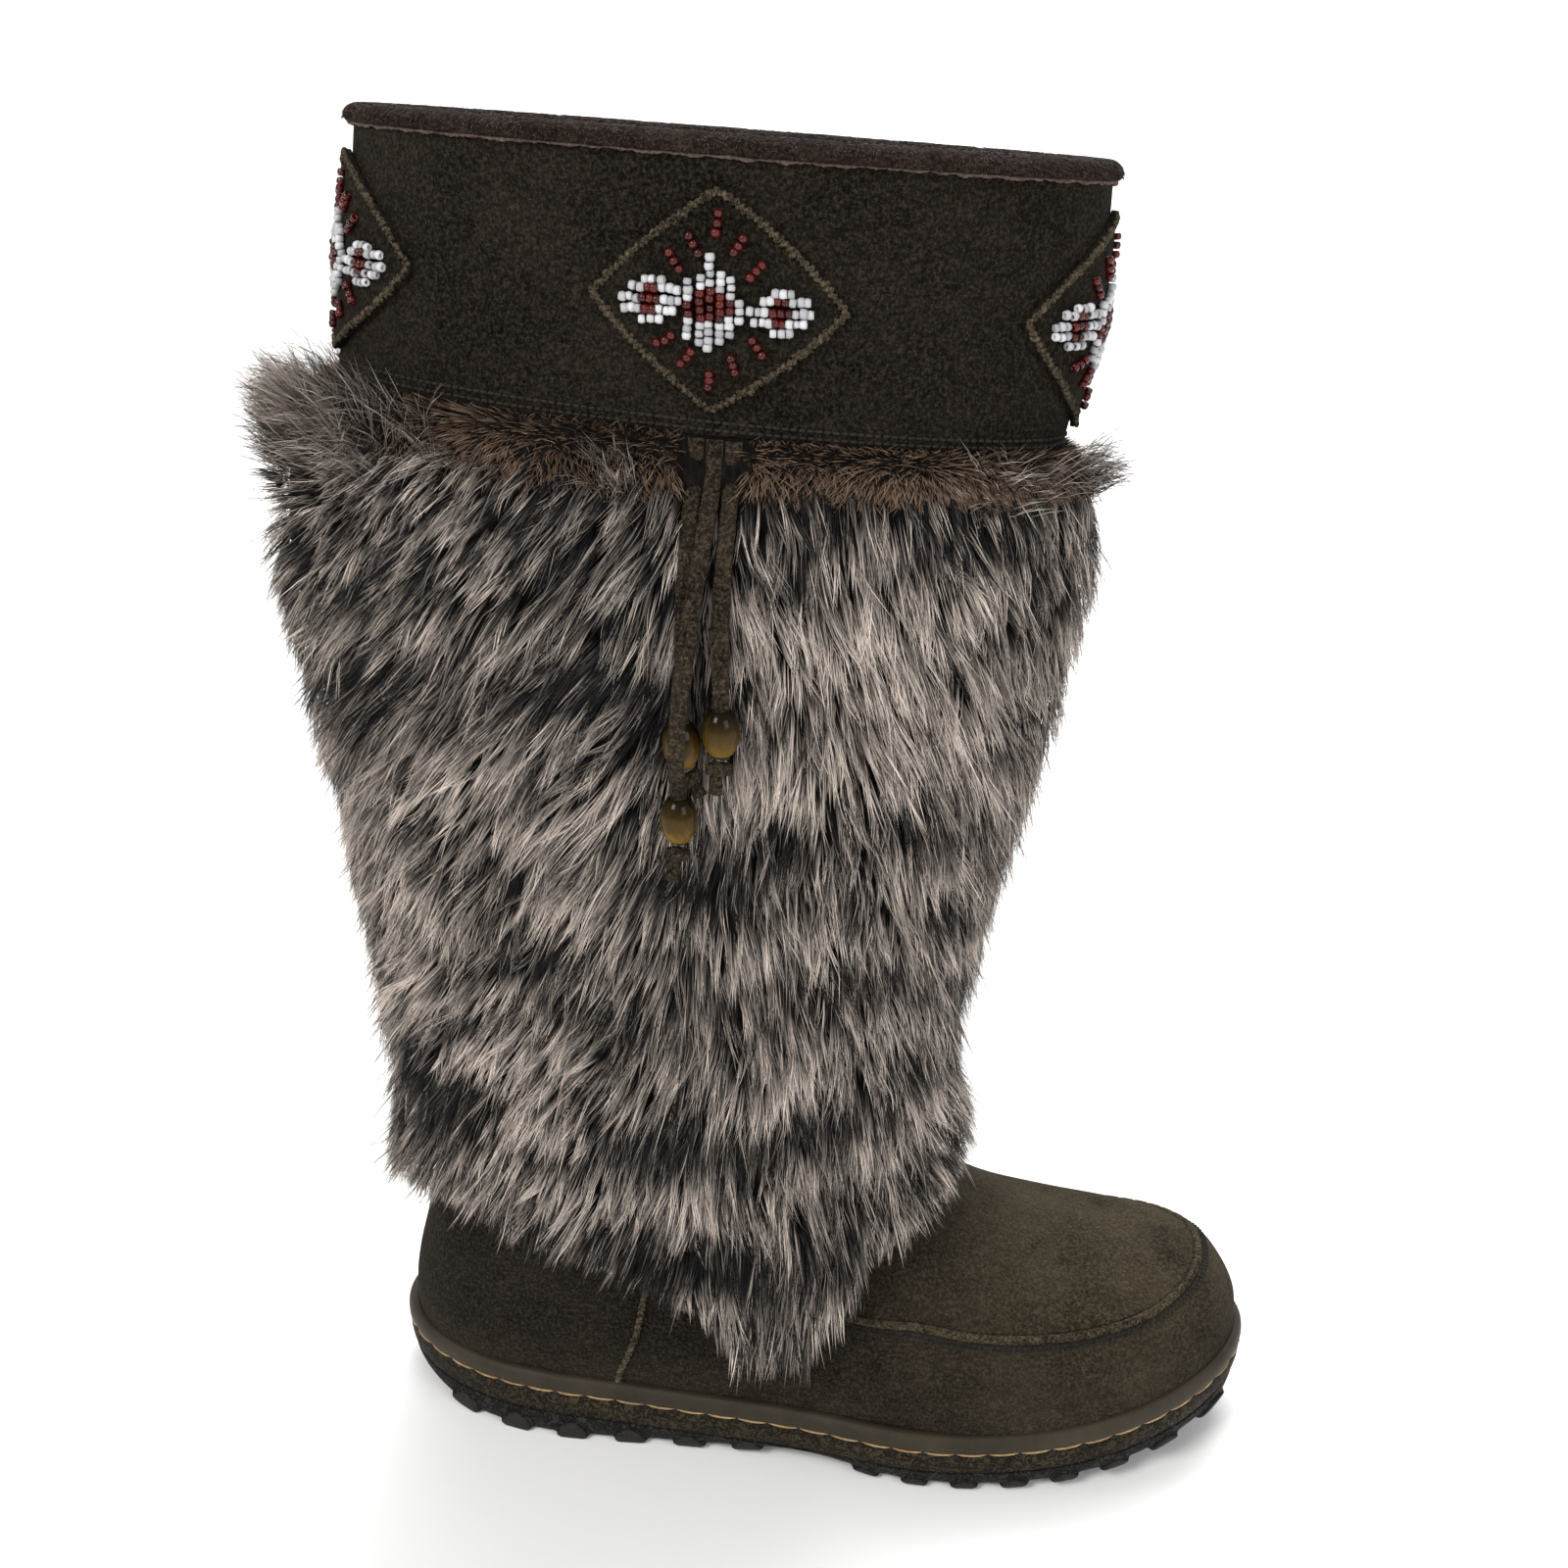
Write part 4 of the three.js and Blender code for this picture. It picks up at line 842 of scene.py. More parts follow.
# Rolled binding over the collar: a U section whose outside is a full round, uneven by three sines
def makeBinding():
    roll = {"turns": 300, "outer": 3.8, "inner": -4.8, "top": 2.6, "foot": -0.6, "low": -2.3}
    middle = (roll["outer"] + roll["inner"]) / 2
    over = np.stack(rollRound(roll, np.linspace(0, np.pi, 15)), -1)
    section = np.concatenate([
        [[cuffStep + 0.15, roll["low"]], [cuffStep + 1.6, roll["low"] - 0.1], [roll["outer"] - 0.15, -1.5]],
        over, [[roll["inner"] + 0.1, -1.4], [-wall - 1.5, roll["low"]], [-wall - 0.1, roll["low"]],
         [-wall - 0.1, 0.25], [cuffStep + 0.1, 0.25]]])
    turn = fullTurn(roll["turns"])
    uneven = 1 + 0.03 * np.sin(turn * 19 + 1) + 0.025 * np.sin(turn * 43) + 0.015 * np.sin(turn * 91 + 2)
    grow = section[None, :, 0] + (uneven[:, None] - 1) * np.abs(section[None, :, 0] - middle) * 2
    rise = section[None, :, 1] * np.where(section[None, :, 1] > 0.5, uneven[:, None], 1)
    points = skinPoint(collarPlace + rise / cuffPitch, np.broadcast_to(turn[:, None], grow.shape), grow)
    f = Finish("binding")
    loops = f.noise(900, 3, 0.75)
    clouds = f.noise(140, 3, 0.6)
    colour = f.ramp(loops * 0.7 + clouds * 0.3, [(0.38, srgb(16, 11, 9)), (0.52, srgb(38, 29, 25)),
                                                (0.68, srgb(72, 58, 51))])
    finish = f.surface(colour, 0.95, f.bump(loops, 1.0, 0.0014), specular_ior_level=0.1)
    faces = gridFaces(roll["turns"], len(section), closeRows=True)
    piece = meshPiece("binding_roll", points, [faces], finish)
    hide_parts("collar_binding")
    makeBindingFuzz(roll)
    makeFrayedLine(roll)


# Brushed nap of the binding: short hairs that leave the roll and lean along and down it
def makeBindingFuzz(roll):
    fuzz = {"count": 15000, "short": 0.9, "long": 1.9, "width": 0.24}
    rng = np.random.default_rng(61)
    turn, way = rng.uniform(0, 2 * np.pi, fuzz["count"]), rng.uniform(-0.25, np.pi + 0.1, fuzz["count"])
    grow, rise = rollRound(roll, np.maximum(way, 0))
    place = collarPlace + (rise + np.minimum(way, 0) * 4) / cuffPitch
    root, ahead = skinPoint(place, turn, grow - 0.2), skinPoint(place, turn + 0.01, grow - 0.2)
    out = unit(skinNormal(place, turn) * np.cos(way)[:, None]
               + np.array([0, 0, 1.0]) * np.maximum(np.sin(way), 0)[:, None])
    lean = unit(unit(ahead - root) * rng.normal(0.1, 0.5, fuzz["count"])[:, None]
                + [0, 0, -0.45] + out * 0.45)
    long = rng.uniform(fuzz["short"], fuzz["long"], fuzz["count"])
    t = np.array([0, 0.5, 1.0])
    path = root[:, None] + lean[:, None] * (long[:, None] * t)[..., None] \
        + out[:, None] * (long[:, None] * 0.3 * (t - t * t))[..., None]
    twist = rng.uniform(-0.7, 0.7, fuzz["count"])
    tone = 0.45 + 0.25 * drift(root, 62, 9) + rng.normal(0, 0.25, fuzz["count"])
    width = np.full(fuzz["count"], fuzz["width"])
    piece = hairPiece("binding_fuzz", path, out, width, twist, tone, fuzzHair)


# Frayed line where the binding's cut edge meets the cuff
def makeFrayedLine(roll):
    line = {"steps": 900, "thick": 0.55, "drop": 0.25, "out": 0.75, "sides": 7}
    turn = fullTurn(line["steps"])
    wobble = closedWobble(np.random.default_rng(63), line["steps"], 4)
    path = skinPoint(collarPlace + (roll["low"] - line["drop"] + 0.25 * wobble) / cuffPitch, turn,
                     cuffStep + line["out"])
    out = skinNormal(np.full(line["steps"], collarPlace), turn)
    thick = line["thick"] * (1 + 0.4 * np.roll(wobble, 41) + 0.2 * np.sin(np.arange(line["steps"]) * 2.3))
    points, faces = closedRope(path, out, thick[:, None], line["sides"])
    finish = plainFinish("frayedLine", srgb(44, 34, 29), srgb(104, 86, 76), 0.95, scale=900.0, bumpy=0.6)
    piece = meshPiece("frayed_line", points, faces, finish)


patchArcs = {"front": 1.0, "outer": 109.5, "back": 224.0, "inner": 357.0}
patchLeans = {"front": 0.0, "outer": 0.09, "back": 0.0, "inner": -0.09}
patchShape = {"wide": 32.0, "high": 26.5, "corner": 1.12, "depth": 1.5, "gap": 0.35}


# Rounded diamond: |u|^corner + |v|^corner = 1, its face slightly crowned
def makePatch(side):
    turn = fullTurn(160)
    c, s = np.cos(turn), np.sin(turn)
    radius = squareRadius(c, s, patchShape["corner"])
    share = np.array([0.0, 0.12, 0.25, 0.4, 0.55, 0.7, 0.82, 0.92, 0.975, 1.0, 1.0])
    lift = np.array([1, 1, 1, 1, 1, 1, 1, 1, 0.96, 0.75, 0.0]) * patchShape["depth"]
    u = patchArcs[side] + patchShape["wide"] * radius[None] * c[None] * share[:, None]
    v = patchShape["high"] * radius[None] * s[None] * share[:, None]
    grow = cuffStep + patchShape["gap"] + lift[:, None] + 0.12 * np.sin(u * 0.9) * np.sin(v * 0.7 + 1)
    points = cuffPoint(u + patchLeans[side] * v, v, np.broadcast_to(grow, u.shape))
    faces = gridFaces(len(share), len(turn))
    face = meshPiece(f"patch_face_{side}", points, [faces], patchSuede)
    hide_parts(f"patch_{side}")
    makeWhippedEdge(side)


# Whipped edge: a rope round the diamond, its surface thrown up by each stitch
def makeWhippedEdge(side):
    rope = {"steps": 640, "radius": 0.85, "twist": 1.9, "inset": 0.9, "throw": 0.42, "sides": 8, "flat": 0.7}
    c, s = np.cos(fullTurn(rope["steps"])), np.sin(fullTurn(rope["steps"]))
    radius = squareRadius(c, s, patchShape["corner"])
    wobble = closedWobble(np.random.default_rng(40 + len(side)), rope["steps"], 5)
    u = patchArcs[side] + (patchShape["wide"] - rope["inset"]) * radius * c + 0.35 * wobble
    v = (patchShape["high"] - rope["inset"]) * radius * s + 0.3 * np.roll(wobble, 97)
    u = u + patchLeans[side] * v
    face = cuffStep + patchShape["gap"] + patchShape["depth"]
    path = cuffPoint(u, v, face + 0.1 + 0.25 * np.roll(wobble, 31))
    out = cuffAxes(u, v)[2]
    strand = np.sin(lengthsOf(path)[:, None] * 2 * np.pi / rope["twist"] + fullTurn(rope["sides"])[None])
    thick = rope["radius"] * (1 + rope["throw"] * strand + 0.3 * np.roll(wobble, 13)[:, None])
    points, faces = closedRope(path, out, thick, rope["sides"], rope["flat"])
    piece = meshPiece(f"whipped_edge_{side}", points, faces, ropeSuede)


for patchSide in patchArcs:
    makePatch(patchSide)
print("patches made")

# Seed beads: columns of the middle by u, first and last v; rows of the wings by v, first and last u;
# rays by their two ends. w is a white bead and r an oxblood one
beadChart = {
    "columns": [(-7.2, 4.4, -8.2, "wwwrrwww"), (-4.3, 5.6, -9.2, "wwrrrrwww"),
                (-2.0, 10.4, -10.6, "wwwwrrrrwwww"), (0.6, 6.6, -8.6, "wwwrrrrwww"),
                (3.0, 5.6, -7.0, "wwwrrwww"), (5.2, 0.4, -3.4, "www")],
    "rows": [(4.0, -17.9, -13.7, "www"), (2.3, -20.7, -9.8, "wwrrwww"), (-0.4, -23.3, -9.4, "wwwrrrwww"),
             (-2.8, -22.7, -10.6, "wwwrrwww"), (-5.0, -18.3, -13.9, "www"),
             (3.4, 13.7, 17.5, "www"), (1.5, 10.8, 21.7, "wwrrwww"), (-1.1, 8.0, 22.6, "wwwrrrwww"),
             (-3.5, 9.2, 20.9, "wwwrrwww"), (-5.7, 13.7, 17.5, "www")],
    "rays": [(-0.2, 20.3, -0.8, 16.1), (-7.0, 14.9, -5.0, 11.2), (-12.2, 10.4, -9.6, 7.0),
             (5.8, 14.9, 3.6, 11.8), (10.6, 9.6, 7.6, 6.6), (-10.8, -8.6, -14.3, -10.4),
             (-6.0, -11.8, -8.2, -14.9),
             (-1.1, -16.9, -0.9, -20.1), (3.8, -12.9, 5.2, -15.7), (8.8, -7.8, 11.4, -11.0)],
    "wide": 1.24, "long": 1.02,
}


# One seed bead: a short rounded tube with its hole along the first direction
def seedBead():
    way, turn = fullTurn(6)[:, None], fullTurn(8)
    radius = 0.64 + 0.36 * np.cos(way)
    along = 0.95 * np.sign(np.sin(way)) * np.abs(np.sin(way)) ** 0.8
    points = np.stack(np.broadcast_arrays(along, radius * np.cos(turn), radius * np.sin(turn)), -1)
    return points.reshape(-1, 3), gridFaces(6, 8, closeRows=True)


# Beadwork: each string of the chart as evenly spaced beads on the cuff, raised by a low crown in its middle
def makeBeadwork(side):
    rng = np.random.default_rng(7 + len(side) * 3 + ord(side[0]))
    u, v, lean, red = [], [], [], []

    def string(fromU, fromV, toU, toV, colours):
        share = np.linspace(0, 1, len(colours))
        u.extend(fromU + (toU - fromU) * share)
        v.extend(fromV + (toV - fromV) * share)
        lean.extend([math.atan2(toV - fromV, toU - fromU)] * len(colours))
        red.extend([c == "r" for c in colours])

    for column, top, bottom, colours in beadChart["columns"]:
        string(column, top, column + 0.25, bottom, colours)
    for row, first, last, colours in beadChart["rows"]:
        string(first, row, last, row + 0.2, colours)
    for ray in beadChart["rays"]:
        string(*ray, "rrr")
    u, v, lean, red = np.array(u), np.array(v), np.array(lean), np.array(red)
    u = u + rng.normal(0, 0.12, len(u))
    v = v + rng.normal(0, 0.12, len(v))
    crown = 0.75 * np.exp(-(v / 7) ** 2) * (np.hypot(u, v) < 24) * ~(np.hypot(u / 1.3, v) > 15)
    grow = cuffStep + patchShape["gap"] + patchShape["depth"] + 0.72 + crown + rng.normal(0, 0.1, len(u))
    arc = patchArcs[side] - u + patchLeans[side] * v
    place = cuffPoint(arc, v, grow)
    along, up, out = cuffAxes(arc, v)
    lean = lean + rng.normal(0, 0.09, len(u))
    first = up * np.sin(lean)[:, None] - along * np.cos(lean)[:, None]
    tilt = rng.normal(0, 0.12, len(u))
    out = unit(out + first * tilt[:, None])
    first = unit(first - out * np.sum(first * out, -1, keepdims=True))
    axes = np.stack([first, np.cross(out, first), out], 1)
    size = 1 + rng.normal(0, 0.05, len(u))
    scales = np.stack([beadChart["long"] * size, beadChart["wide"] * size, beadChart["wide"] * size], -1)
    shape, faces = seedBead()
    points, faces = scatter(shape, [faces], place, axes, scales)
    shade = np.repeat(np.where(red, 1.0, 0.0), len(shape))
    own = np.repeat(rng.random(len(u)), len(shape))
    piece = meshPiece(f"seed_beads_{side}", points, faces, beadGlass, values={"oxblood": shade, "own": own})
    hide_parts(f"beadwork_{side}")


# Glassy beads, each a shade of its own between two whites or two reds
def beadFinish():
    f = Finish("beadGlass")
    own = f.value("own")
    white = f.mix(own, srgb(150, 150, 153), srgb(204, 204, 206))
    oxblood = f.mix(own, srgb(44, 8, 5), srgb(82, 17, 11))
    return f.surface(f.mix(f.value("oxblood"), white, oxblood), 0.15, coat_weight=0.15, coat_roughness=0.05,
                     specular_ior_level=0.3)


beadGlass = beadFinish()
for patchSide in patchArcs:
    makeBeadwork(patchSide)
print("beadwork made")


# Two rows of stitches above the cuff's lower edge, the second set off by half a stitch
def makeCuffStitches():
    seam = {"steps": 900, "lift": 0.12, "pitch": 2.15, "long": 1.75, "radius": 0.42}
    rows = []
    for rise, shift in ((1.5, 0), (3.3, 0.5)):
        arcs = np.linspace(0, cuffArcs[-1], seam["steps"]) + shift
        low = rise - (cuffMiddle - cuffPlace) * cuffPitch
        out = skinNormal(np.full(seam["steps"], cuffMiddle + low / cuffPitch), cuffTurn(arcs))
        path = cuffPoint(arcs, low, cuffStep + seam["lift"])
        rows.append(stitchRow(path, out, seam["pitch"], seam["long"], seam["radius"]))
    stitchPiece("cuff_stitches", rows, threadFinish)


threadFinish = plainFinish("thread", srgb(10, 8, 7), srgb(40, 34, 28), 0.9, scale=700.0, bumpy=0.6)
makeCuffStitches()


# Sole: turns round the plan, closer where extra distances are asked for
def soleTurns(extra=()):
    x = np.concatenate([soleLength * (1 - np.cos(np.linspace(0, np.pi, 190))) / 2, np.asarray(extra, float)])
    x = np.unique(np.clip(x, 0, soleLength))
    outerSide = np.arccos(np.clip(1 - 2 * x / soleLength, -1, 1))
    return np.concatenate([outerSide, 2 * np.pi - outerSide[1:-1][::-1]])


# Closed band round the plan: each profile point is grow, height function and share of the flare
def soleBand(turn, profile):
    rings = []
    for grow, height, flared in profile:
        edge = planEdge(turn, grow, flared)
        rings.append(np.concatenate([edge, height(edge[..., 0])[:, None]], -1))
    return np.stack(rings)


# Flat cap over a ring of the plan: quads straight across and a triangle at heel and toe
def capFaces(count, row, flip):
    half = count // 2
    left = np.arange(1, half)
    right = count - left
    quads = np.stack([left[:-1], left[1:], right[1:], right[:-1]], -1)
    tips = np.array([[0, 1, count - 1], [half, right[-1], left[-1]]])
    quads, tips = quads + row * count, tips + row * count
    return (quads[:, ::-1], tips[:, ::-1]) if flip else (quads, tips)


# Midsole: the plan from the split up to the seat, its side swelling by a flattened sine
def makeMidsole():
    turn = soleTurns()
    count = len(turn)
    profile = []
    for t in np.linspace(0, 1, 9):
        bulge = 1.15 * math.sin(math.pi * t) ** 0.7 + 0.15 * t - 0.25 * (1 - t)
        profile.append((bulge, lambda x, t=t: (splitHeight(x) + 0.35) * (1 - t)
                        + (seatHeight(x) - 0.05) * t, 0))
    rings = soleBand(turn, profile)
    bottomQuads, bottomTips = capFaces(count, 0, False)
    topQuads, topTips = capFaces(count, len(profile) - 1, True)
    # ring order runs outer side first, so the plan turns clockwise seen from above
    side = gridFaces(len(profile), count)[:, ::-1]
    piece = meshPiece("crepe_midsole", rings,
                      [np.concatenate([side, bottomQuads, topQuads]), np.concatenate([bottomTips, topTips])],
                      midCrepe)
    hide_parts("midsole")


midCrepe = crepeFinish("midCrepe", srgb(39, 33, 23), srgb(62, 54, 38), srgb(11, 9, 6))
makeMidsole()

# Lugs under heel and forefoot: first middle, pitch, how many, half width and height
lugRows = ((26.0, 19.0, 6, 5.5, 6.2), (159.0, 15.6, 8, 4.7, 4.2))
lugs = [(first + pitch * i, half, high) for first, pitch, count, half, high in lugRows for i in range(count)]


# How far a point of the side at (x, z over the tread) lies inside a lug's round arch, 0 to 1
def lugArch(x, z):
    far = [np.hypot((x - middle) / half, z / high) for middle, half, high in lugs]
    return np.clip((1.04 - np.min(far, 0)) / 0.12, 0, 1)


# 1 along the bars under the tread and 0 in the valleys between them
def lugBar(x):
    bar = np.max([np.clip((half + 0.5 - np.abs(x - middle)) / 2.4, 0, 1) for middle, half, high in lugs], 0)
    return bar ** 2 * (3 - 2 * bar)


# Outsole: rings from the split down to the tread, thrown out where a lug's arch lies, then flat under it
def makeOutsole():
    edges = [middle + side * (half + off) for middle, half, high in lugs for side in (-1, 1)
             for off in (-1.9, -1.3, -0.7, -0.1, 0.5)]
    turn = soleTurns(edges)
    count = len(turn)
    x = planPoint(turn)[:, 0]
    full = treadHeight(x)
    valley = full + soleHeights["valley"] * (1 - lugBar(x))
    along = unit(planPoint(turn + 0.01) - planPoint(turn - 0.01))
    rings = []
    for t in np.linspace(1, 0, 13):  # 1 at the split under the midsole, 0 at the tread's edge
        low = valley + 0.1
        height = low + (splitHeight(x) - low) * t
        arch = lugArch(x, height - full)
        grow = -0.6 * (1 - t) ** 1.5 - 1.6 * (1 - t) ** 4 + arch * 1.15 * np.clip((1 - t) * 3, 0, 1)
        edge = planEdge(turn, 0.0, 1.0 - t)
        edge = edge + np.stack([along[:, 1], -along[:, 0]], -1) * grow[:, None]
        rings.append(np.concatenate([edge, height[:, None]], -1))
    rim = rings[-1]
    for share in (0.985, 0.9, 0.7, 0.4, 0.0):
        rings.append(np.stack([rim[:, 0], middleLine(x) + (rim[:, 1] - middleLine(x)) * share, valley], -1))
    rings = np.stack(rings)
    topQuads, topTips = capFaces(count, 0, True)
    side = gridFaces(len(rings), count)
    piece = meshPiece("lugged_outsole", rings, [np.concatenate([side, topQuads]), topTips], outsoleFinish(),
                      values={"lug": lugArch(rings[..., 0], rings[..., 2] - treadHeight(rings[..., 0]))})
    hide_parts("outsole")


# Rubber: crepe worms on the wall, their pits darkened by painted shade, and a plain grain on the lugs
def outsoleFinish():
    f = Finish("outsoleRubber")
    worms = f.noise(380, 1.5, 0.5, distortion=1.4)
    grain = f.noise(1800, 2, 0.6)
    level = (worms - 0.5).maths("ABSOLUTE").ramp(0.0, 0.11)
    lug = f.value("lug").ramp(0.3, 0.7)
    # painted shade: near-black in the worm pits
    crepe = f.mix((1 - level) * 0.8, srgb(40, 38, 37), srgb(8, 8, 8))
    colour = f.mix(lug, crepe, f.mix(grain.ramp(0.3, 0.7), srgb(26, 25, 24), srgb(44, 42, 41)))
    height = level * (1 - lug) + grain * 0.12
    return f.surface(colour, 0.7, f.bump(height, 1.0, 0.0012), specular_ior_level=0.2)


makeOutsole()


# Welt: a smooth rolled rand, its side a flattened half ellipse between midsole and suede
def makeWelt():
    rand = {"middle": 2.05, "half": 2.95, "foot": -0.6, "round": 2.0, "inside": -4.4}
    turn = soleTurns()
    profile = [(rand["inside"], lambda x: seatHeight(x) + 0.35, 0)]
    for angle in np.linspace(-0.5 * np.pi, 0.5 * np.pi, 15):
        lean = 0.55 * math.sin(angle)
        grow = rand["foot"] + rand["round"] * math.cos(angle) ** 0.7 - lean
        rise = rand["middle"] + rand["half"] * math.sin(angle)
        profile.append((grow, lambda x, rise=rise: seatHeight(x) + rise, 0))
    profile += [(-2.0, lambda x: seatHeight(x) + 4.9, 0), (rand["inside"], lambda x: seatHeight(x) + 3.0, 0)]
    rings = soleBand(turn, profile)
    faces = gridFaces(len(profile), len(turn), closeRows=True)[:, ::-1]
    piece = meshPiece("welt_rand", rings, [faces], weltFinish)
    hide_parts("welt")


weltFinish = plainFinish("weltRand", srgb(40, 35, 26), srgb(56, 49, 37), 0.6, scale=70.0, bumpy=0.12,
                         specular_ior_level=0.2)
makeWelt()


# Welt stitches: cream thread in long scallops along the foot of the welt, with a dark blob of painted shade
# for the notch between two
def makeWeltStitches():
    thread = {"pitch": 9.9, "long": 9.3, "radius": 0.34, "grow": 1.2, "rise": -0.55}
    turn = np.linspace(0, 2 * np.pi, 1200)
    edge = planEdge(turn, thread["grow"])
    path = np.concatenate([edge, (seatHeight(edge[:, 0]) + thread["rise"])[:, None]], -1)
    along = unit(np.gradient(path, axis=0))
    out = unit(np.stack([along[:, 1], -along[:, 0], np.full(len(turn), 0.35)], -1))
    stitchPiece("welt_stitches", [stitchRow(path, out, thread["pitch"], thread["long"], thread["radius"],
                                            sag=0.35, dip=0.9)], creamThread)
    length = lengthsOf(path)
    at = np.arange(0, length[-1], thread["pitch"])
    place, way, outAt = (alongPath(at, length, values) for values in (path, along, out))
    axes = np.stack([unit(way), unit(outAt), unit(-np.cross(way, outAt))], 1)
    hole = {"rows": 7, "round": 8, "deep": 0.25, "low": 0.75, "size": [0.95, 0.5, 0.7]}
    rows, around = np.linspace(0.12, np.pi - 0.12, hole["rows"])[:, None], fullTurn(hole["round"])
    ball = np.stack(np.broadcast_arrays(np.sin(rows) * np.cos(around), np.sin(rows) * np.sin(around),
                                        np.cos(rows)), -1).reshape(-1, 3)
    cap = np.arange(hole["round"])
    ends = np.stack([cap, (len(ball) - hole["round"] + cap)[::-1]])
    points, faces = scatter(ball, [gridFaces(hole["rows"], hole["round"]), ends],
                            place - outAt * hole["deep"] - [0, 0, hole["low"]], axes,
                            np.tile(hole["size"], (len(at), 1)))
    holes = meshPiece("stitch_notch_shades", points, [f[:, ::-1] for f in faces], notchShadeFinish)


creamThread = plainFinish("creamThread", srgb(118, 92, 60), srgb(178, 148, 106), 0.7, scale=300.0, bumpy=0.4,
                          fine=2500.0)
# painted shade: near-black blobs standing in for the shade in the stitch notches
notchShadeFinish = plainFinish("stitchNotchShade", srgb(10, 8, 6), srgb(18, 15, 12), 0.95)
makeWeltStitches()
print("sole made")


# Footbed: the solid is already its shape, and it takes the lining's pile
def fleeceFinish():
    f = Finish("fleece")
    pile = f.noise(700, 3, 0.65)
    colour = f.ramp(pile, [(0.32, srgb(56, 46, 39)), (0.68, srgb(104, 90, 77))])
    return f.surface(colour, 0.95, f.bump(pile, 0.9, 0.0015), sheen_weight=0.2)


footbed = fleeceFinish()
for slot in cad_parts["insole"].material_slots:
    slot.material = footbed

# Pile: place, depth at the side, and what the front and the back add to it
pileRows = np.array([
    [8.6, 8, 4, 0],
    [9.6, 13, 5, 0],
    [10.8, 14.5, 5, 0],
    [12.5, 15, 4, -2],
    [14.5, 15, 4, -2],
    [16.5, 15, 4, -1],
    [18.3, 15, 4, 1],
    [20, 15, 4, 3],
    [22, 15.5, 4, 5],
    [23.8, 15.5, 4, 11],
    [24.7, 11.5, 2, 14],
    [25.2, 6, 0, 11],
])
# Where the hair ends, X and Z: all round, and on the outer side with its hanging tuft
hemRows = np.array([[-80, 90], [4, 79], [28, 84], [50, 79], [75, 71], [110, 69], [150, 73], [190, 95],
                    [204, 122], [280, 140]])
tuftRows = np.array([[-80, 92], [4, 80], [25, 88], [45, 83], [65, 76], [84, 70], [96, 66], [106, 58],
                     [116, 52], [130, 48], [141, 48], [149, 55], [156, 67], [161, 81], [180, 90], [192, 99],
                     [204, 125], [280, 140]])
thongMiddleX, thongRoom = 114.8, 8.6  # middle and half width of the room the thongs hang in


# Pile depth: the side's depth, plus the front's or back's own by the square of the cosine
def pileDepth(place, turn):
    side, front, back = (np.interp(place, pileRows[:, 0], pileRows[:, i]) for i in (1, 2, 3))
    ends = np.cos(turn)
    return side + np.where(ends > 0, front, back) * ends ** 2


# Depth of the undercoat: inside the pile, most at the back of the calf, and sloping up to the cuff
def coatDepth(place, turn):
    back, front = np.clip(-np.cos(turn), 0, 1) ** 2, np.clip(np.cos(turn), 0, 1) ** 2
    slope = 2.2 + (25 - place) * cuffPitch * (0.8 + 0.9 * back)
    inside = 4.2 + back * np.interp(place, [17, 20, 21.5, 22.5, 25], [0.5, 2.5, 3, 7.5, 7.5]) \
        + front * np.interp(place, [18, 20, 24], [0, 1.5, 1.5])
    return np.maximum(np.minimum(pileDepth(place, turn) - inside, slope), 0.8)


# Smooth random field over the boot: sums of sines in rising pitches
def drift(points, seed, scale):
    rng = np.random.default_rng(seed)
    total = np.zeros(points.shape[:-1])
    for octave in range(4):
        way = rng.normal(0, 1, 3)
        way = way / np.linalg.norm(way)
        total += np.sin(points @ way / scale * (1 + 0.8 * octave) + rng.random() * 6.3) / (1 + 0.5 * octave)
    return total / 2.2


# The height at which hair ends, on the outer side by the tuft's rows where tuft is true
def hemHeight(points, tuft=False):
    low = np.interp(points[..., 0], hemRows[:, 0], hemRows[:, 1])
    return np.where(tuft, np.interp(points[..., 0], tuftRows[:, 0], tuftRows[:, 1]), low)


# How far the pile is laid back for the thongs, 1 at the channel's middle
def thongChannel(points):
    across = np.exp(-((points[..., 0] - thongMiddleX) / 9.5) ** 4)
    return across * (points[..., 1] < 0) * np.clip((points[..., 2] - 283) / 14, 0, 1)


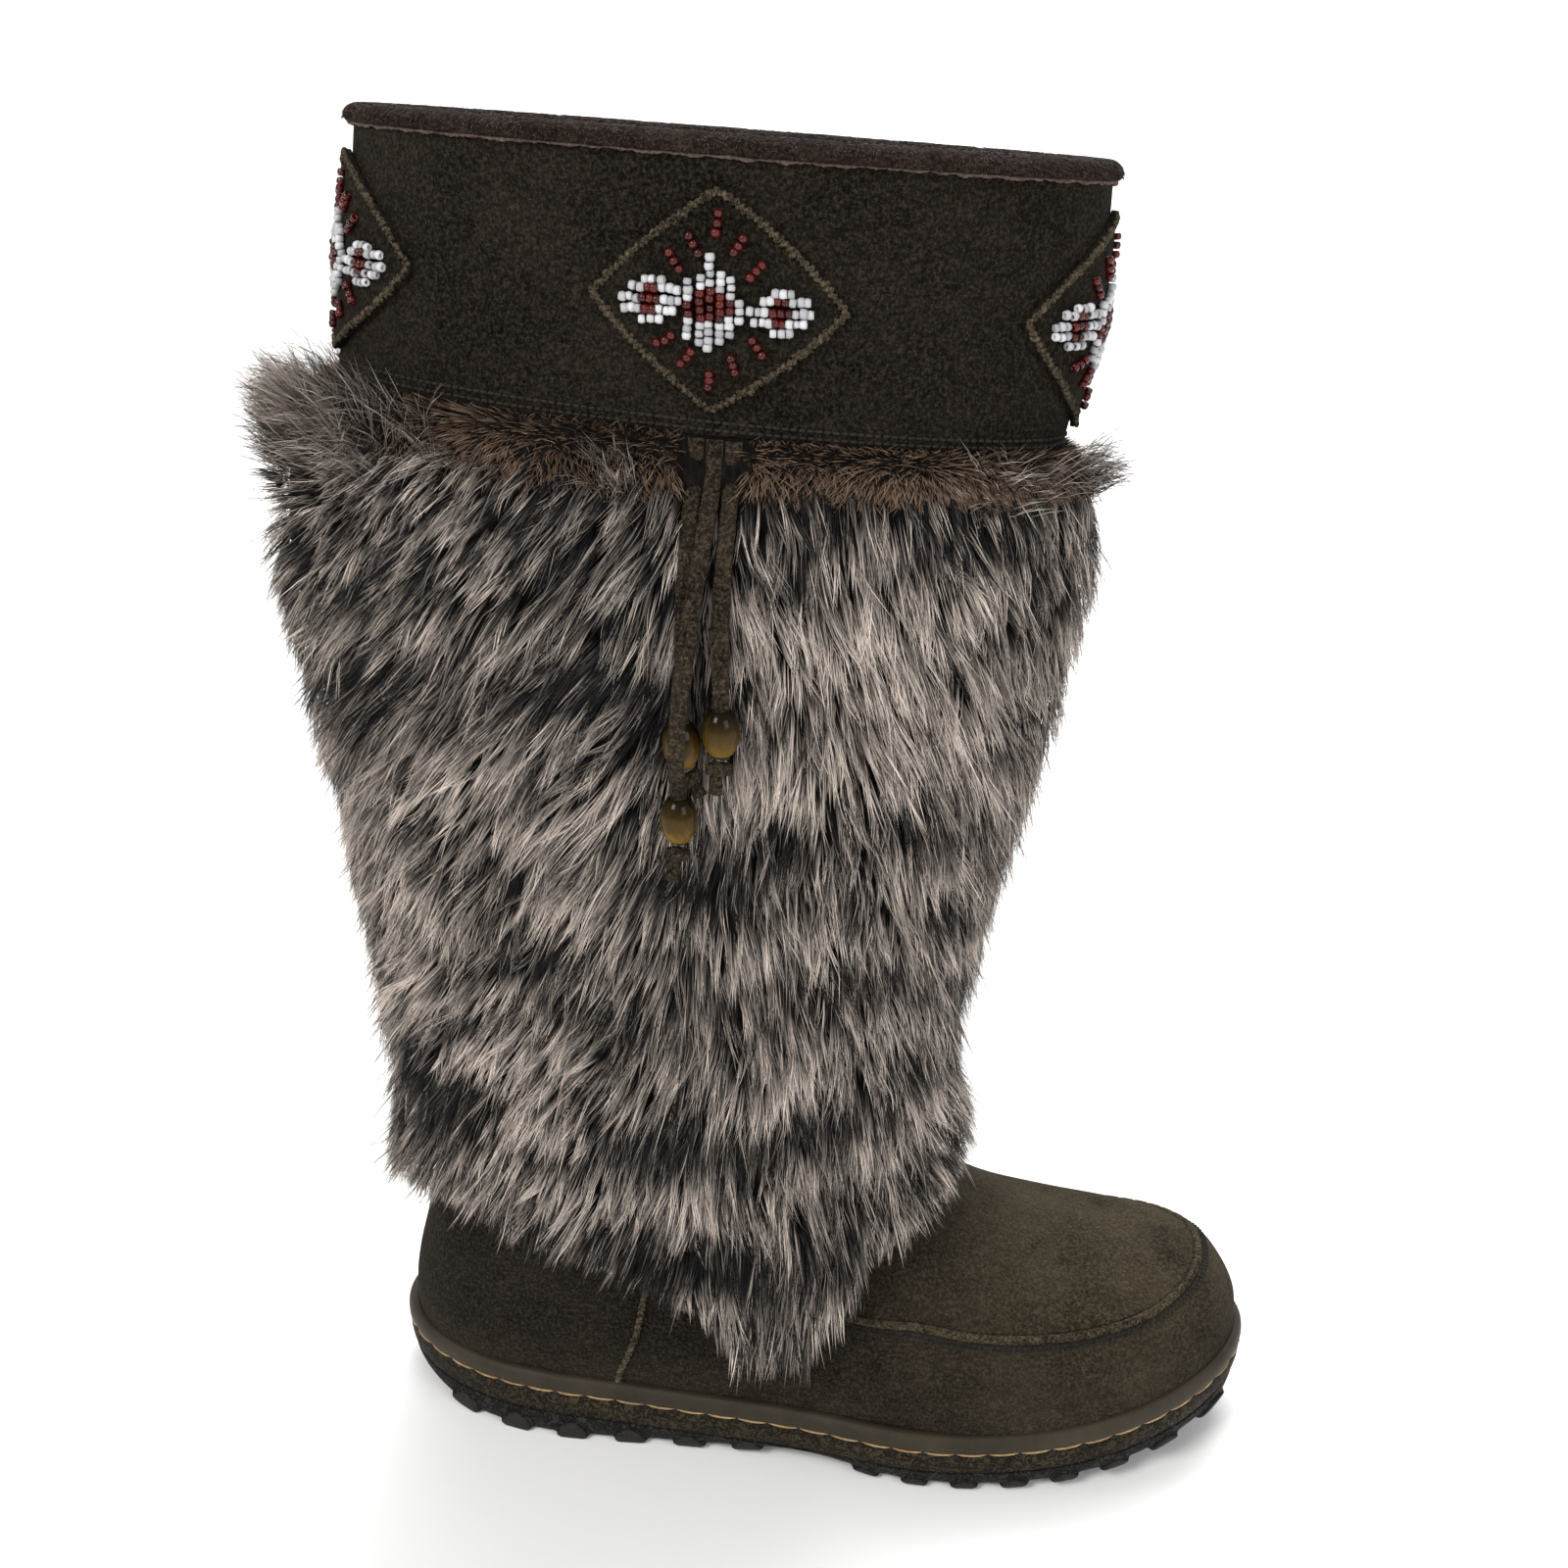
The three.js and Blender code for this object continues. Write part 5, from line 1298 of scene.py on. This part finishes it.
# Undercoat: a closed sleeve under the hair, from a little over the hem to the cuff, swelling quickly to its
# depth, with a channel for the thongs
def makeUndercoat():
    coat = {"round": 96, "rows": 60, "overHem": 7, "inside": 0.3}
    turn = fullTurn(coat["round"])
    share = np.linspace(0, 1, coat["rows"])[:, None]
    probe, turns = np.meshgrid(np.linspace(8.8, 20, 300), turn, indexing="ij")
    surface = skinPoint(probe, turns, coatDepth(probe, turns))
    above = surface[..., 2] > hemHeight(surface) + coat["overHem"]
    low = probe[np.argmax(above, axis=0), 0]
    rows = low[None] + (cuffPlace - low[None]) * share
    turns = np.broadcast_to(turn[None], rows.shape)
    depth = coatDepth(rows, turns) * np.clip(share * 14 + 0.25, 0, 1)
    beside = skinPoint(rows, turns, depth)
    channel = thongChannel(beside)
    allowed = 1.2 + np.clip((322 - beside[..., 2]) * 0.45, 0, 20)
    depth = depth * (1 - channel) + np.minimum(depth, allowed) * channel
    rings = np.concatenate([skinPoint(rows, turns, depth), skinPoint(rows, turns, coat["inside"])[::-1]])
    f = Finish("undercoat")
    fibre = f.noise(500, 3, 0.6, at=f.objectPlace((1, 1, 0.35)))
    colour = f.ramp(fibre, [(0.3, srgb(9, 8, 7)), (0.7, srgb(26, 23, 21))])
    finish = f.surface(colour, 0.95, f.bump(fibre, 0.8, 0.002), specular_ior_level=0.05)
    piece = meshPiece("fur_undercoat", rings, [gridFaces(len(rings), len(turn), closeRows=True)], finish)
    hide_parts("fur_shaft")


makeUndercoat()


# Ribbons: two points across each step of a strand and one at its tip, facing outwards
def ribbonMesh(path, out, width, roll):
    count, steps = path.shape[:2]
    travel = unit(np.gradient(path, axis=1))
    across = unit(np.cross(out[:, None], travel))
    lifted = np.cross(travel, across)
    across = across * np.cos(roll)[:, None, None] + lifted * np.sin(roll)[:, None, None]
    taper = np.linspace(1, 0.72, steps - 1)
    half = across[:, :-1] * (width[:, None] * taper[None] / 2)[..., None]
    sides = np.stack([path[:, :-1] - half, path[:, :-1] + half], 2).reshape(count, -1, 3)
    points = np.concatenate([sides, path[:, -1:]], 1)
    quads = np.arange(steps - 2)[:, None] * 2 + np.array([[1, 0, 2, 3]])
    tip = np.array([[2 * (steps - 2) + 1, 2 * (steps - 2), 2 * (steps - 2) + 2]])
    offset = (np.arange(count) * points.shape[1])[:, None, None]
    return points, [(quads[None] + offset).reshape(-1, 4), (tip[None] + offset).reshape(-1, 3)]


# One piece of hair: a ribbon along each path; its map holds the tone and the way along, from start to 1
def hairPiece(name, path, out, width, roll, tone, finish, start=0.0):
    points, faces = ribbonMesh(path, out, width, roll)
    along = np.repeat(np.linspace(start, 1, path.shape[1]), 2)[:-1]
    uv = np.stack(np.broadcast_arrays(np.clip(tone, 0, 1)[:, None], along[None]), -1)
    return meshPiece(name, points, faces, finish, uv=uv)


# Points spread by area over the coat, no two in one cell
def spreadOver(count, low, high, cell, rng):
    place, turn = rng.uniform(low, high, count * 6), rng.uniform(0, 2 * np.pi, count * 6)
    up = lastPoint(place + 0.05, turn) - lastPoint(place - 0.05, turn)
    around = skinPoint(place, turn + 0.05, 12) - skinPoint(place, turn - 0.05, 12)
    area = np.linalg.norm(np.cross(up, around), axis=-1)
    keep = rng.random(len(place)) < area / np.quantile(area, 0.99)
    place, turn = place[keep], turn[keep]
    root = skinPoint(place, turn, coatDepth(place, turn))
    first = np.unique(np.floor(root / cell).astype(int), axis=0, return_index=True)[1]
    first = rng.permutation(first)[:count]
    return place[first], turn[first], root[first]


# Axes of the hair: outward normal, down along the leg, and sideways (towards the heel on the outer side)
def coatAxes(place, turn):
    normal = skinNormal(place, turn)
    down = unit(np.array([0, 0, -1.0]) + normal * normal[:, 2:3])
    return normal, down, np.cross(down, normal)


# Strands: each starts along one direction and ends along another, so it is a parabola of its length
def strandPaths(root, begin, end, long, steps, start=0.0):
    t = np.linspace(start, 1, steps)
    first = (t - t * t / 2)[None, :, None]
    second = (t * t / 2)[None, :, None]
    return root[:, None] + (begin[:, None] * first + end[:, None] * second) * long[:, None, None]


# Pale and dark patches of the coat seen from the outer side: X, Z, radius and change of tone
coatPatches = np.array([
    [62, 292, 30, -0.08], [96, 276, 20, -0.16], [30, 268, 24, -0.10], [134, 296, 10, -0.20],
    [156, 274, 30, 0.24], [48, 236, 22, 0.22], [84, 214, 16, 0.18], [26, 214, 16, 0.12],
    [120, 205, 16, -0.16], [62, 186, 20, -0.20], [150, 190, 22, 0.10], [30, 172, 14, 0.20],
    [84, 152, 20, -0.14], [134, 152, 18, 0.16], [104, 130, 16, -0.22], [60, 128, 18, 0.22],
    [30, 120, 14, -0.12], [150, 112, 18, -0.20], [80, 108, 9, 0.3], [110, 106, 9, 0.32],
    [176, 130, 12, 0.14], [136, 60, 14, -0.16], [136, 110, 9, 0.32], [160, 122, 9, 0.25],
    [88, 126, 12, -0.22], [128, 128, 12, -0.28], [120, 90, 12, -0.32], [146, 92, 10, -0.28],
    [96, 88, 9, -0.2],
])


# Tone of the coat: two drifts, and each patch as a bell on the outer side
def coatTone(points):
    flat = points * [0.7, 0.7, 1.25]
    tone = 0.41 + 0.2 * drift(flat, 21, 6.5) + 0.15 * drift(flat, 22, 15)
    outer = np.clip(-points[:, 1] / 25, 0, 1)
    for x, z, radius, change in coatPatches:
        far = (points[:, 0] - x) ** 2 + ((points[:, 2] - z) * 1.25) ** 2
        tone += 1.25 * outer * change * np.exp(-far / radius ** 2)
    return 0.5 + 1.3 * (tone - 0.5)


# Main coat: wisps of strands spread by area, each leaving the skin by its lift and lying down along the
# flow, which is the leg's way down turned sideways by the sweep
def makeFur():
    fur = {"wisps": 30000, "each": 6, "low": 8.9, "high": 24.72, "cell": 1.25, "tuftCell": 8.0, "long": 20.0,
           "width": 0.31, "pieces": 4, "from": 0.16, "steps": 3}
    rng = np.random.default_rng(11)
    place, turn, root = spreadOver(fur["wisps"], fur["low"], fur["high"], fur["cell"], rng)
    ends = np.abs(root[:, 0] - 100) > 78
    keep = (root[:, 2] > hemHeight(root) + 4) \
        & (ends | (place < 24.68 + 0.04 * rng.normal(0, 1, len(root))))
    place, turn, root = place[keep], turn[keep], root[keep]
    normal, down, side = coatAxes(place, turn)
    print("wisps", len(root))
    # the wisps of one tuft share its turn, lift, length and tone, and lean to its middle
    cells = np.unique(np.floor(root / fur["tuftCell"]).astype(int), axis=0, return_index=True)[1]
    middles = root[cells] + rng.normal(0, 1.5, (len(cells), 3))
    tuft = np.concatenate([((part[:, None] - middles[None]) ** 2).sum(-1).argmin(1)
                           for part in np.array_split(root, 20)])
    tuftTurn, tuftLift, tuftLong, tuftTone = (rng.normal(0, 1, len(cells))[tuft] for _ in range(4))
    toMiddle = middles[tuft] - root
    outer = np.clip(-root[:, 1] / 25, 0, 1)
    behind = np.clip((thongMiddleX + 6 - root[:, 0]) / 26, 0, 1)
    high = np.clip((root[:, 2] - 90) / 200, 0, 1)
    sweep = outer * (behind * (0.22 + 0.42 * high) - (1 - behind) * 0.10) + (1 - outer) * 0.06
    sweep += 0.22 * drift(root, 3, 24) + 0.13 * drift(root, 5, 10) + 0.12 * tuftTurn \
        + rng.normal(0, 0.09, len(root))
    flow = down * np.cos(sweep)[:, None] + side * np.sin(sweep)[:, None]
    gather = toMiddle - normal * np.sum(toMiddle * normal, -1, keepdims=True)
    gather -= flow * np.sum(gather * flow, -1, keepdims=True)
    # the top rows fan out over the cuff's edge, furthest at the back
    top = np.clip((root[:, 2] - 288) / 22, 0, 1)
    back = np.clip((26 - root[:, 0]) / 26, 0, 1)
    loose = top * (0.2 + 0.8 * back)
    lift = 0.46 + 0.07 * tuftLift + 0.3 * loose + rng.normal(0, 0.06, len(root))
    begin = normal * lift[:, None] + flow * (0.8 - 1.5 * loose[:, None])
    end = flow * (0.98 - 1.25 * loose[:, None]) + normal * (0.04 + 0.05 * tuftLift + 0.2 * loose)[:, None]
    end += gather * 0.028 + np.cross(flow, normal) * rng.normal(0, 0.13, len(root))[:, None]
    long = fur["long"] * np.clip(1 + 0.13 * tuftLong + 0.12 * drift(root, 8, 14) + 0.25 * loose, 0.6, 1.6)
    tone = coatTone(root) + 0.12 * tuftTone + rng.normal(0, 0.23, len(root)) + 0.16 * normal[:, 0] ** 4
    # strands of a wisp: roots apart, ends nearly together
    own = np.repeat(np.arange(len(root)), fur["each"])
    count = len(own)
    spread, angle = 1.25 * np.sqrt(rng.random(count)), rng.uniform(0, 2 * np.pi, count)
    offset = side[own] * (spread * np.cos(angle))[:, None] + down[own] * (spread * np.sin(angle))[:, None]
    long = long[own] * rng.uniform(0.75, 1.12, count)
    stray = rng.random(count) < 0.07
    begin = begin[own] + normal[own] * (stray * rng.uniform(0.1, 0.4, count))[:, None]
    end = end[own] + rng.normal(0, 0.055, (count, 3)) - offset * 0.05 + normal[own] * (stray * 0.35)[:, None]
    start = root[own] + offset - normal[own] * (spread ** 2 * 0.12)[:, None]
    path = strandPaths(start, begin, end, long, fur["steps"], fur["from"])
    # hair ends at the hem, raggedly
    tip = path[:, -1]
    hem = hemHeight(tip, tuft=tip[:, 1] < -12) + rng.normal(1, 2.0, len(root))[own]
    hem += rng.normal(0, 1.0, count)
    fit = np.clip((start[:, 2] - hem) / np.maximum(start[:, 2] - tip[:, 2], 0.5), 0.15, 1)
    long = long * np.where(tip[:, 2] < hem, fit, 1)
    path = strandPaths(start, begin, end, long, fur["steps"], fur["from"])
    layThongRoom(path)
    tone = tone[own] + rng.normal(0, 0.17, count)
    width = fur["width"] * rng.uniform(0.7, 1.25, count)
    roll = rng.uniform(-0.6, 0.6, count)
    sector = np.floor((np.arctan2(start[:, 1], start[:, 0] - 90) + np.pi) / (2 * np.pi) * fur["pieces"])
    for part in range(fur["pieces"]):
        mine = np.where(np.clip(sector, 0, fur["pieces"] - 1) == part)[0]
        piece = hairPiece(f"fur_hair_{part + 1}", path[mine], normal[own][mine], width[mine], roll[mine],
                          tone[mine], furHair, fur["from"])
        print("fur", part + 1, len(mine), "strands")


# Strands that would cross the thongs' room are laid back behind it
def layThongRoom(path):
    room = (np.abs(path[..., 0] - thongMiddleX) < thongRoom) & (path[..., 1] < -44) & (path[..., 2] > 222)
    behind = np.interp(path[..., 2], [222, 250, 262, 275, 289, 303, 314, 324],
                       [-63.8, -61.8, -61.4, -60.2, -58.6, -53.2, -46.2, -44.6])
    path[..., 1] = np.where(room, np.maximum(path[..., 1], behind), path[..., 1])


makeFur()


# Hanging tuft of the outer side: wisps from above the hem, gathered to one low point
def makeTuft():
    tuft = {"wisps": 480, "each": 8, "x": 129.0, "half": 24.0, "end": 46.0, "width": 0.34, "tries": 12000}
    rng = np.random.default_rng(17)
    turnAt, placeAt = rng.uniform(-2.0, -1.0, tuft["tries"]), rng.uniform(8.7, 12.6, tuft["tries"])
    root = skinPoint(placeAt, turnAt, coatDepth(placeAt, turnAt) - 1)
    keep = (np.abs(root[:, 0] - tuft["x"]) < tuft["half"] * 1.15) & (root[:, 2] > 68) & (root[:, 2] < 92)
    place, turn, root = (values[keep][:tuft["wisps"]] for values in (placeAt, turnAt, root))
    normal = skinNormal(place, turn)
    share = (root[:, 0] - tuft["x"]) / tuft["half"]
    low = tuft["end"] + 20 * np.abs(share) ** 3 + rng.normal(3, 4, len(root))
    long = np.clip(root[:, 2] - low, 8, 46) * 1.1
    lean = -share * 0.2 + rng.normal(0, 0.16, len(root))
    begin = unit([0, 0, -1.0] + normal * rng.uniform(0.25, 0.5, len(root))[:, None])
    end = unit(np.stack([lean, 0 * lean + 0.12, -1 + 0 * lean], -1))
    own = np.repeat(np.arange(len(root)), tuft["each"])
    offset = rng.normal(0, 1.0, (len(own), 3)) * [1, 0.6, 1]
    end = end[own] - offset * 0.05 + rng.normal(0, 0.04, (len(own), 3))
    path = strandPaths(root[own] + offset, begin[own], end, long[own] * rng.uniform(0.75, 1.08, len(own)), 5)
    tone = 0.24 + rng.normal(0, 0.24, len(root))[own] + rng.normal(0, 0.14, len(own))
    piece = hairPiece("hem_tuft", path, normal[own], np.full(len(own), tuft["width"]),
                      rng.uniform(-0.6, 0.6, len(own)), tone, furHair)
    print("tuft", len(root))


makeTuft()


# Short brown pile on the slope under the cuff
def makeShortPile():
    pile = {"count": 17000, "long": 5.2, "width": 0.36}
    rng = np.random.default_rng(23)
    place, turn = rng.uniform(24.5, 24.99, pile["count"]), rng.uniform(0, 2 * np.pi, pile["count"])
    root = skinPoint(place, turn, coatDepth(place, turn) - 0.4)
    room = (np.abs(root[:, 0] - thongMiddleX) < thongRoom) & (root[:, 1] < 0)
    place, turn, root = place[~room], turn[~room], root[~room]
    normal, down, side = coatAxes(place, turn)
    lean = 0.5 * drift(root, 31, 9) + rng.normal(0, 0.35, len(root))
    rising = np.clip((place - 24.7) / 0.25, 0, 1)[:, None]
    begin = normal * 0.8 + down * (0.25 - 0.7 * rising) + side * lean[:, None]
    end = down * (0.8 - 1.1 * rising) + normal * 0.35 + side * lean[:, None]
    path = strandPaths(root, begin, end, pile["long"] * rng.uniform(0.6, 1.4, len(root)), 3)
    width, roll = pile["width"] * rng.uniform(0.7, 1.2, len(root)), rng.uniform(-0.6, 0.6, len(root))
    tone = 0.5 + 0.25 * drift(root, 33, 8) + rng.normal(0, 0.22, len(root))
    piece = hairPiece("short_pile", path, normal, width, roll, tone, pileHair)


# Loose locks over the cuff's lower edge: arc from the front, how wide, how many wisps, length and rise
topLocks = np.array([
    [222, 26, 230, 24, 1.1],
    [198, 16, 150, 22, 1.15],
    [174, 12, 16, 20, 1.3],
    [128, 7, 22, 15, 1.2],
    [30, 10, 26, 16, 0.9],
    [4, 14, 80, 21, 1.0],
    [252, 24, 110, 26, 1.0],
    [290, 40, 70, 18, 0.8],
    [350, 40, 70, 18, 0.8],
])


# Each strand leaves the skin outwards and up, fanned sideways, and bends over towards its end
def makeTopLocks():
    strand = {"each": 8, "width": 0.21}
    rng = np.random.default_rng(29)
    wisps = topLocks[:, 2].astype(int)
    arc = np.concatenate([rng.normal(lock[0], lock[1] / 2, count) for lock, count in zip(topLocks, wisps)])
    long, rise = np.repeat(topLocks[:, 3:], wisps, axis=0).T
    turn = np.mod(cuffTurn(arc), 2 * np.pi)
    place = rng.uniform(24.3, 24.85, len(arc))
    root = skinPoint(place, turn, coatDepth(place, turn) - 1)
    clear = (np.abs(root[:, 0] - thongMiddleX) > 10) | (root[:, 1] > 0)
    place, turn, root, long, rise = (values[clear] for values in (place, turn, root, long, rise))
    normal, down, side = coatAxes(place, turn)
    fan = rng.normal(0, 0.35, len(root))
    begin = unit(normal * 0.8 - down * (rise * rng.uniform(0.5, 1.15, len(root)))[:, None]
                 + side * fan[:, None])
    end = unit(normal * 0.45 - down * (rise * rng.uniform(-0.3, 0.75, len(root)))[:, None]
               + side * (fan * 1.5)[:, None])
    own = np.repeat(np.arange(len(root)), strand["each"])
    offset = rng.normal(0, 1.5, (len(own), 3))
    path = strandPaths(root[own] + offset, begin[own] + rng.normal(0, 0.08, (len(own), 3)),
                       end[own] - offset * 0.02 + rng.normal(0, 0.12, (len(own), 3)),
                       long[own] * rng.uniform(0.5, 1.1, len(own)), 4)
    tone = (0.42 + 0.25 * drift(root, 71, 9) + rng.normal(0, 0.16, len(root)))[own]
    tone = tone + rng.normal(0, 0.16, len(own))
    piece = hairPiece("top_locks", path, normal[own], np.full(len(own), strand["width"]),
                      rng.uniform(-0.7, 0.7, len(own)), tone, furHair)


makeShortPile()
makeTopLocks()
print("fur made")
makeBinding()
print("binding made")


# Floor curving up into a backdrop by a quarter circle, four soft boxes and a pale world
def makeStage():
    floor = {"half": 5.0, "front": -5.0, "bend": 2.4, "radius": 1.0, "top": 4.5, "colour": (0.9, 0.9, 0.895)}
    way = np.linspace(0, np.pi / 2, 17)
    curve = floor["bend"] + floor["radius"] * np.sin(way)
    y = np.concatenate([[floor["front"]], curve, [floor["bend"] + floor["radius"]]])
    z = np.concatenate([[0], floor["radius"] * (1 - np.cos(way)), [floor["top"]]])
    points = [(x, float(b), float(c)) for b, c in zip(y, z) for x in (-floor["half"], floor["half"])]
    faces = [(2 * i, 2 * i + 1, 2 * i + 3, 2 * i + 2) for i in range(len(y) - 1)]
    mesh = bpy.data.meshes.new("floor")
    mesh.from_pydata(points, [], faces)
    mesh.polygons.foreach_set("use_smooth", [True] * len(faces))
    plane = bpy.data.objects.new("floor", mesh)
    bpy.context.scene.collection.objects.link(plane)
    f = Finish("floorPaint")
    f.surface(floor["colour"], 0.9, specular_ior_level=0.1)
    mesh.materials.append(f.material)
    lamps = [  # position, aim, power, size, colour
        ((-1.1, -1.7, 1.9), (0.05, 0, 0.2), 46, 0.9, (1.0, 0.99, 0.97)),
        ((1.5, -1.3, 1.1), (0.05, 0, 0.15), 14, 1.0, (0.97, 0.98, 1.0)),
        ((0.3, 0.9, 2.2), (0.05, 0, 0.1), 34, 1.4, (1.0, 1.0, 1.0)),
        ((0.0, 1.4, 2.6), (0, 3.2, 0.6), 90, 2.0, (1.0, 1.0, 1.0)),
    ]
    for i, (place, aim, power, size, colour) in enumerate(lamps):
        light = bpy.data.lights.new(f"softbox{i}", "AREA")
        light.energy, light.size, light.color = power, size, colour
        lamp = bpy.data.objects.new(f"softbox{i}", light)
        lamp.location = place
        lamp.rotation_euler = (Vector(aim) - Vector(place)).to_track_quat("-Z", "Y").to_euler()
        bpy.context.scene.collection.objects.link(lamp)
    world = bpy.data.worlds.new("studio")
    world.use_nodes = True
    world.node_tree.nodes["Background"].inputs[0].default_value = (1, 1, 1, 1)
    world.node_tree.nodes["Background"].inputs[1].default_value = 0.5
    bpy.context.scene.world = world
    bpy.context.scene.view_settings.view_transform = "Standard"


makeStage()
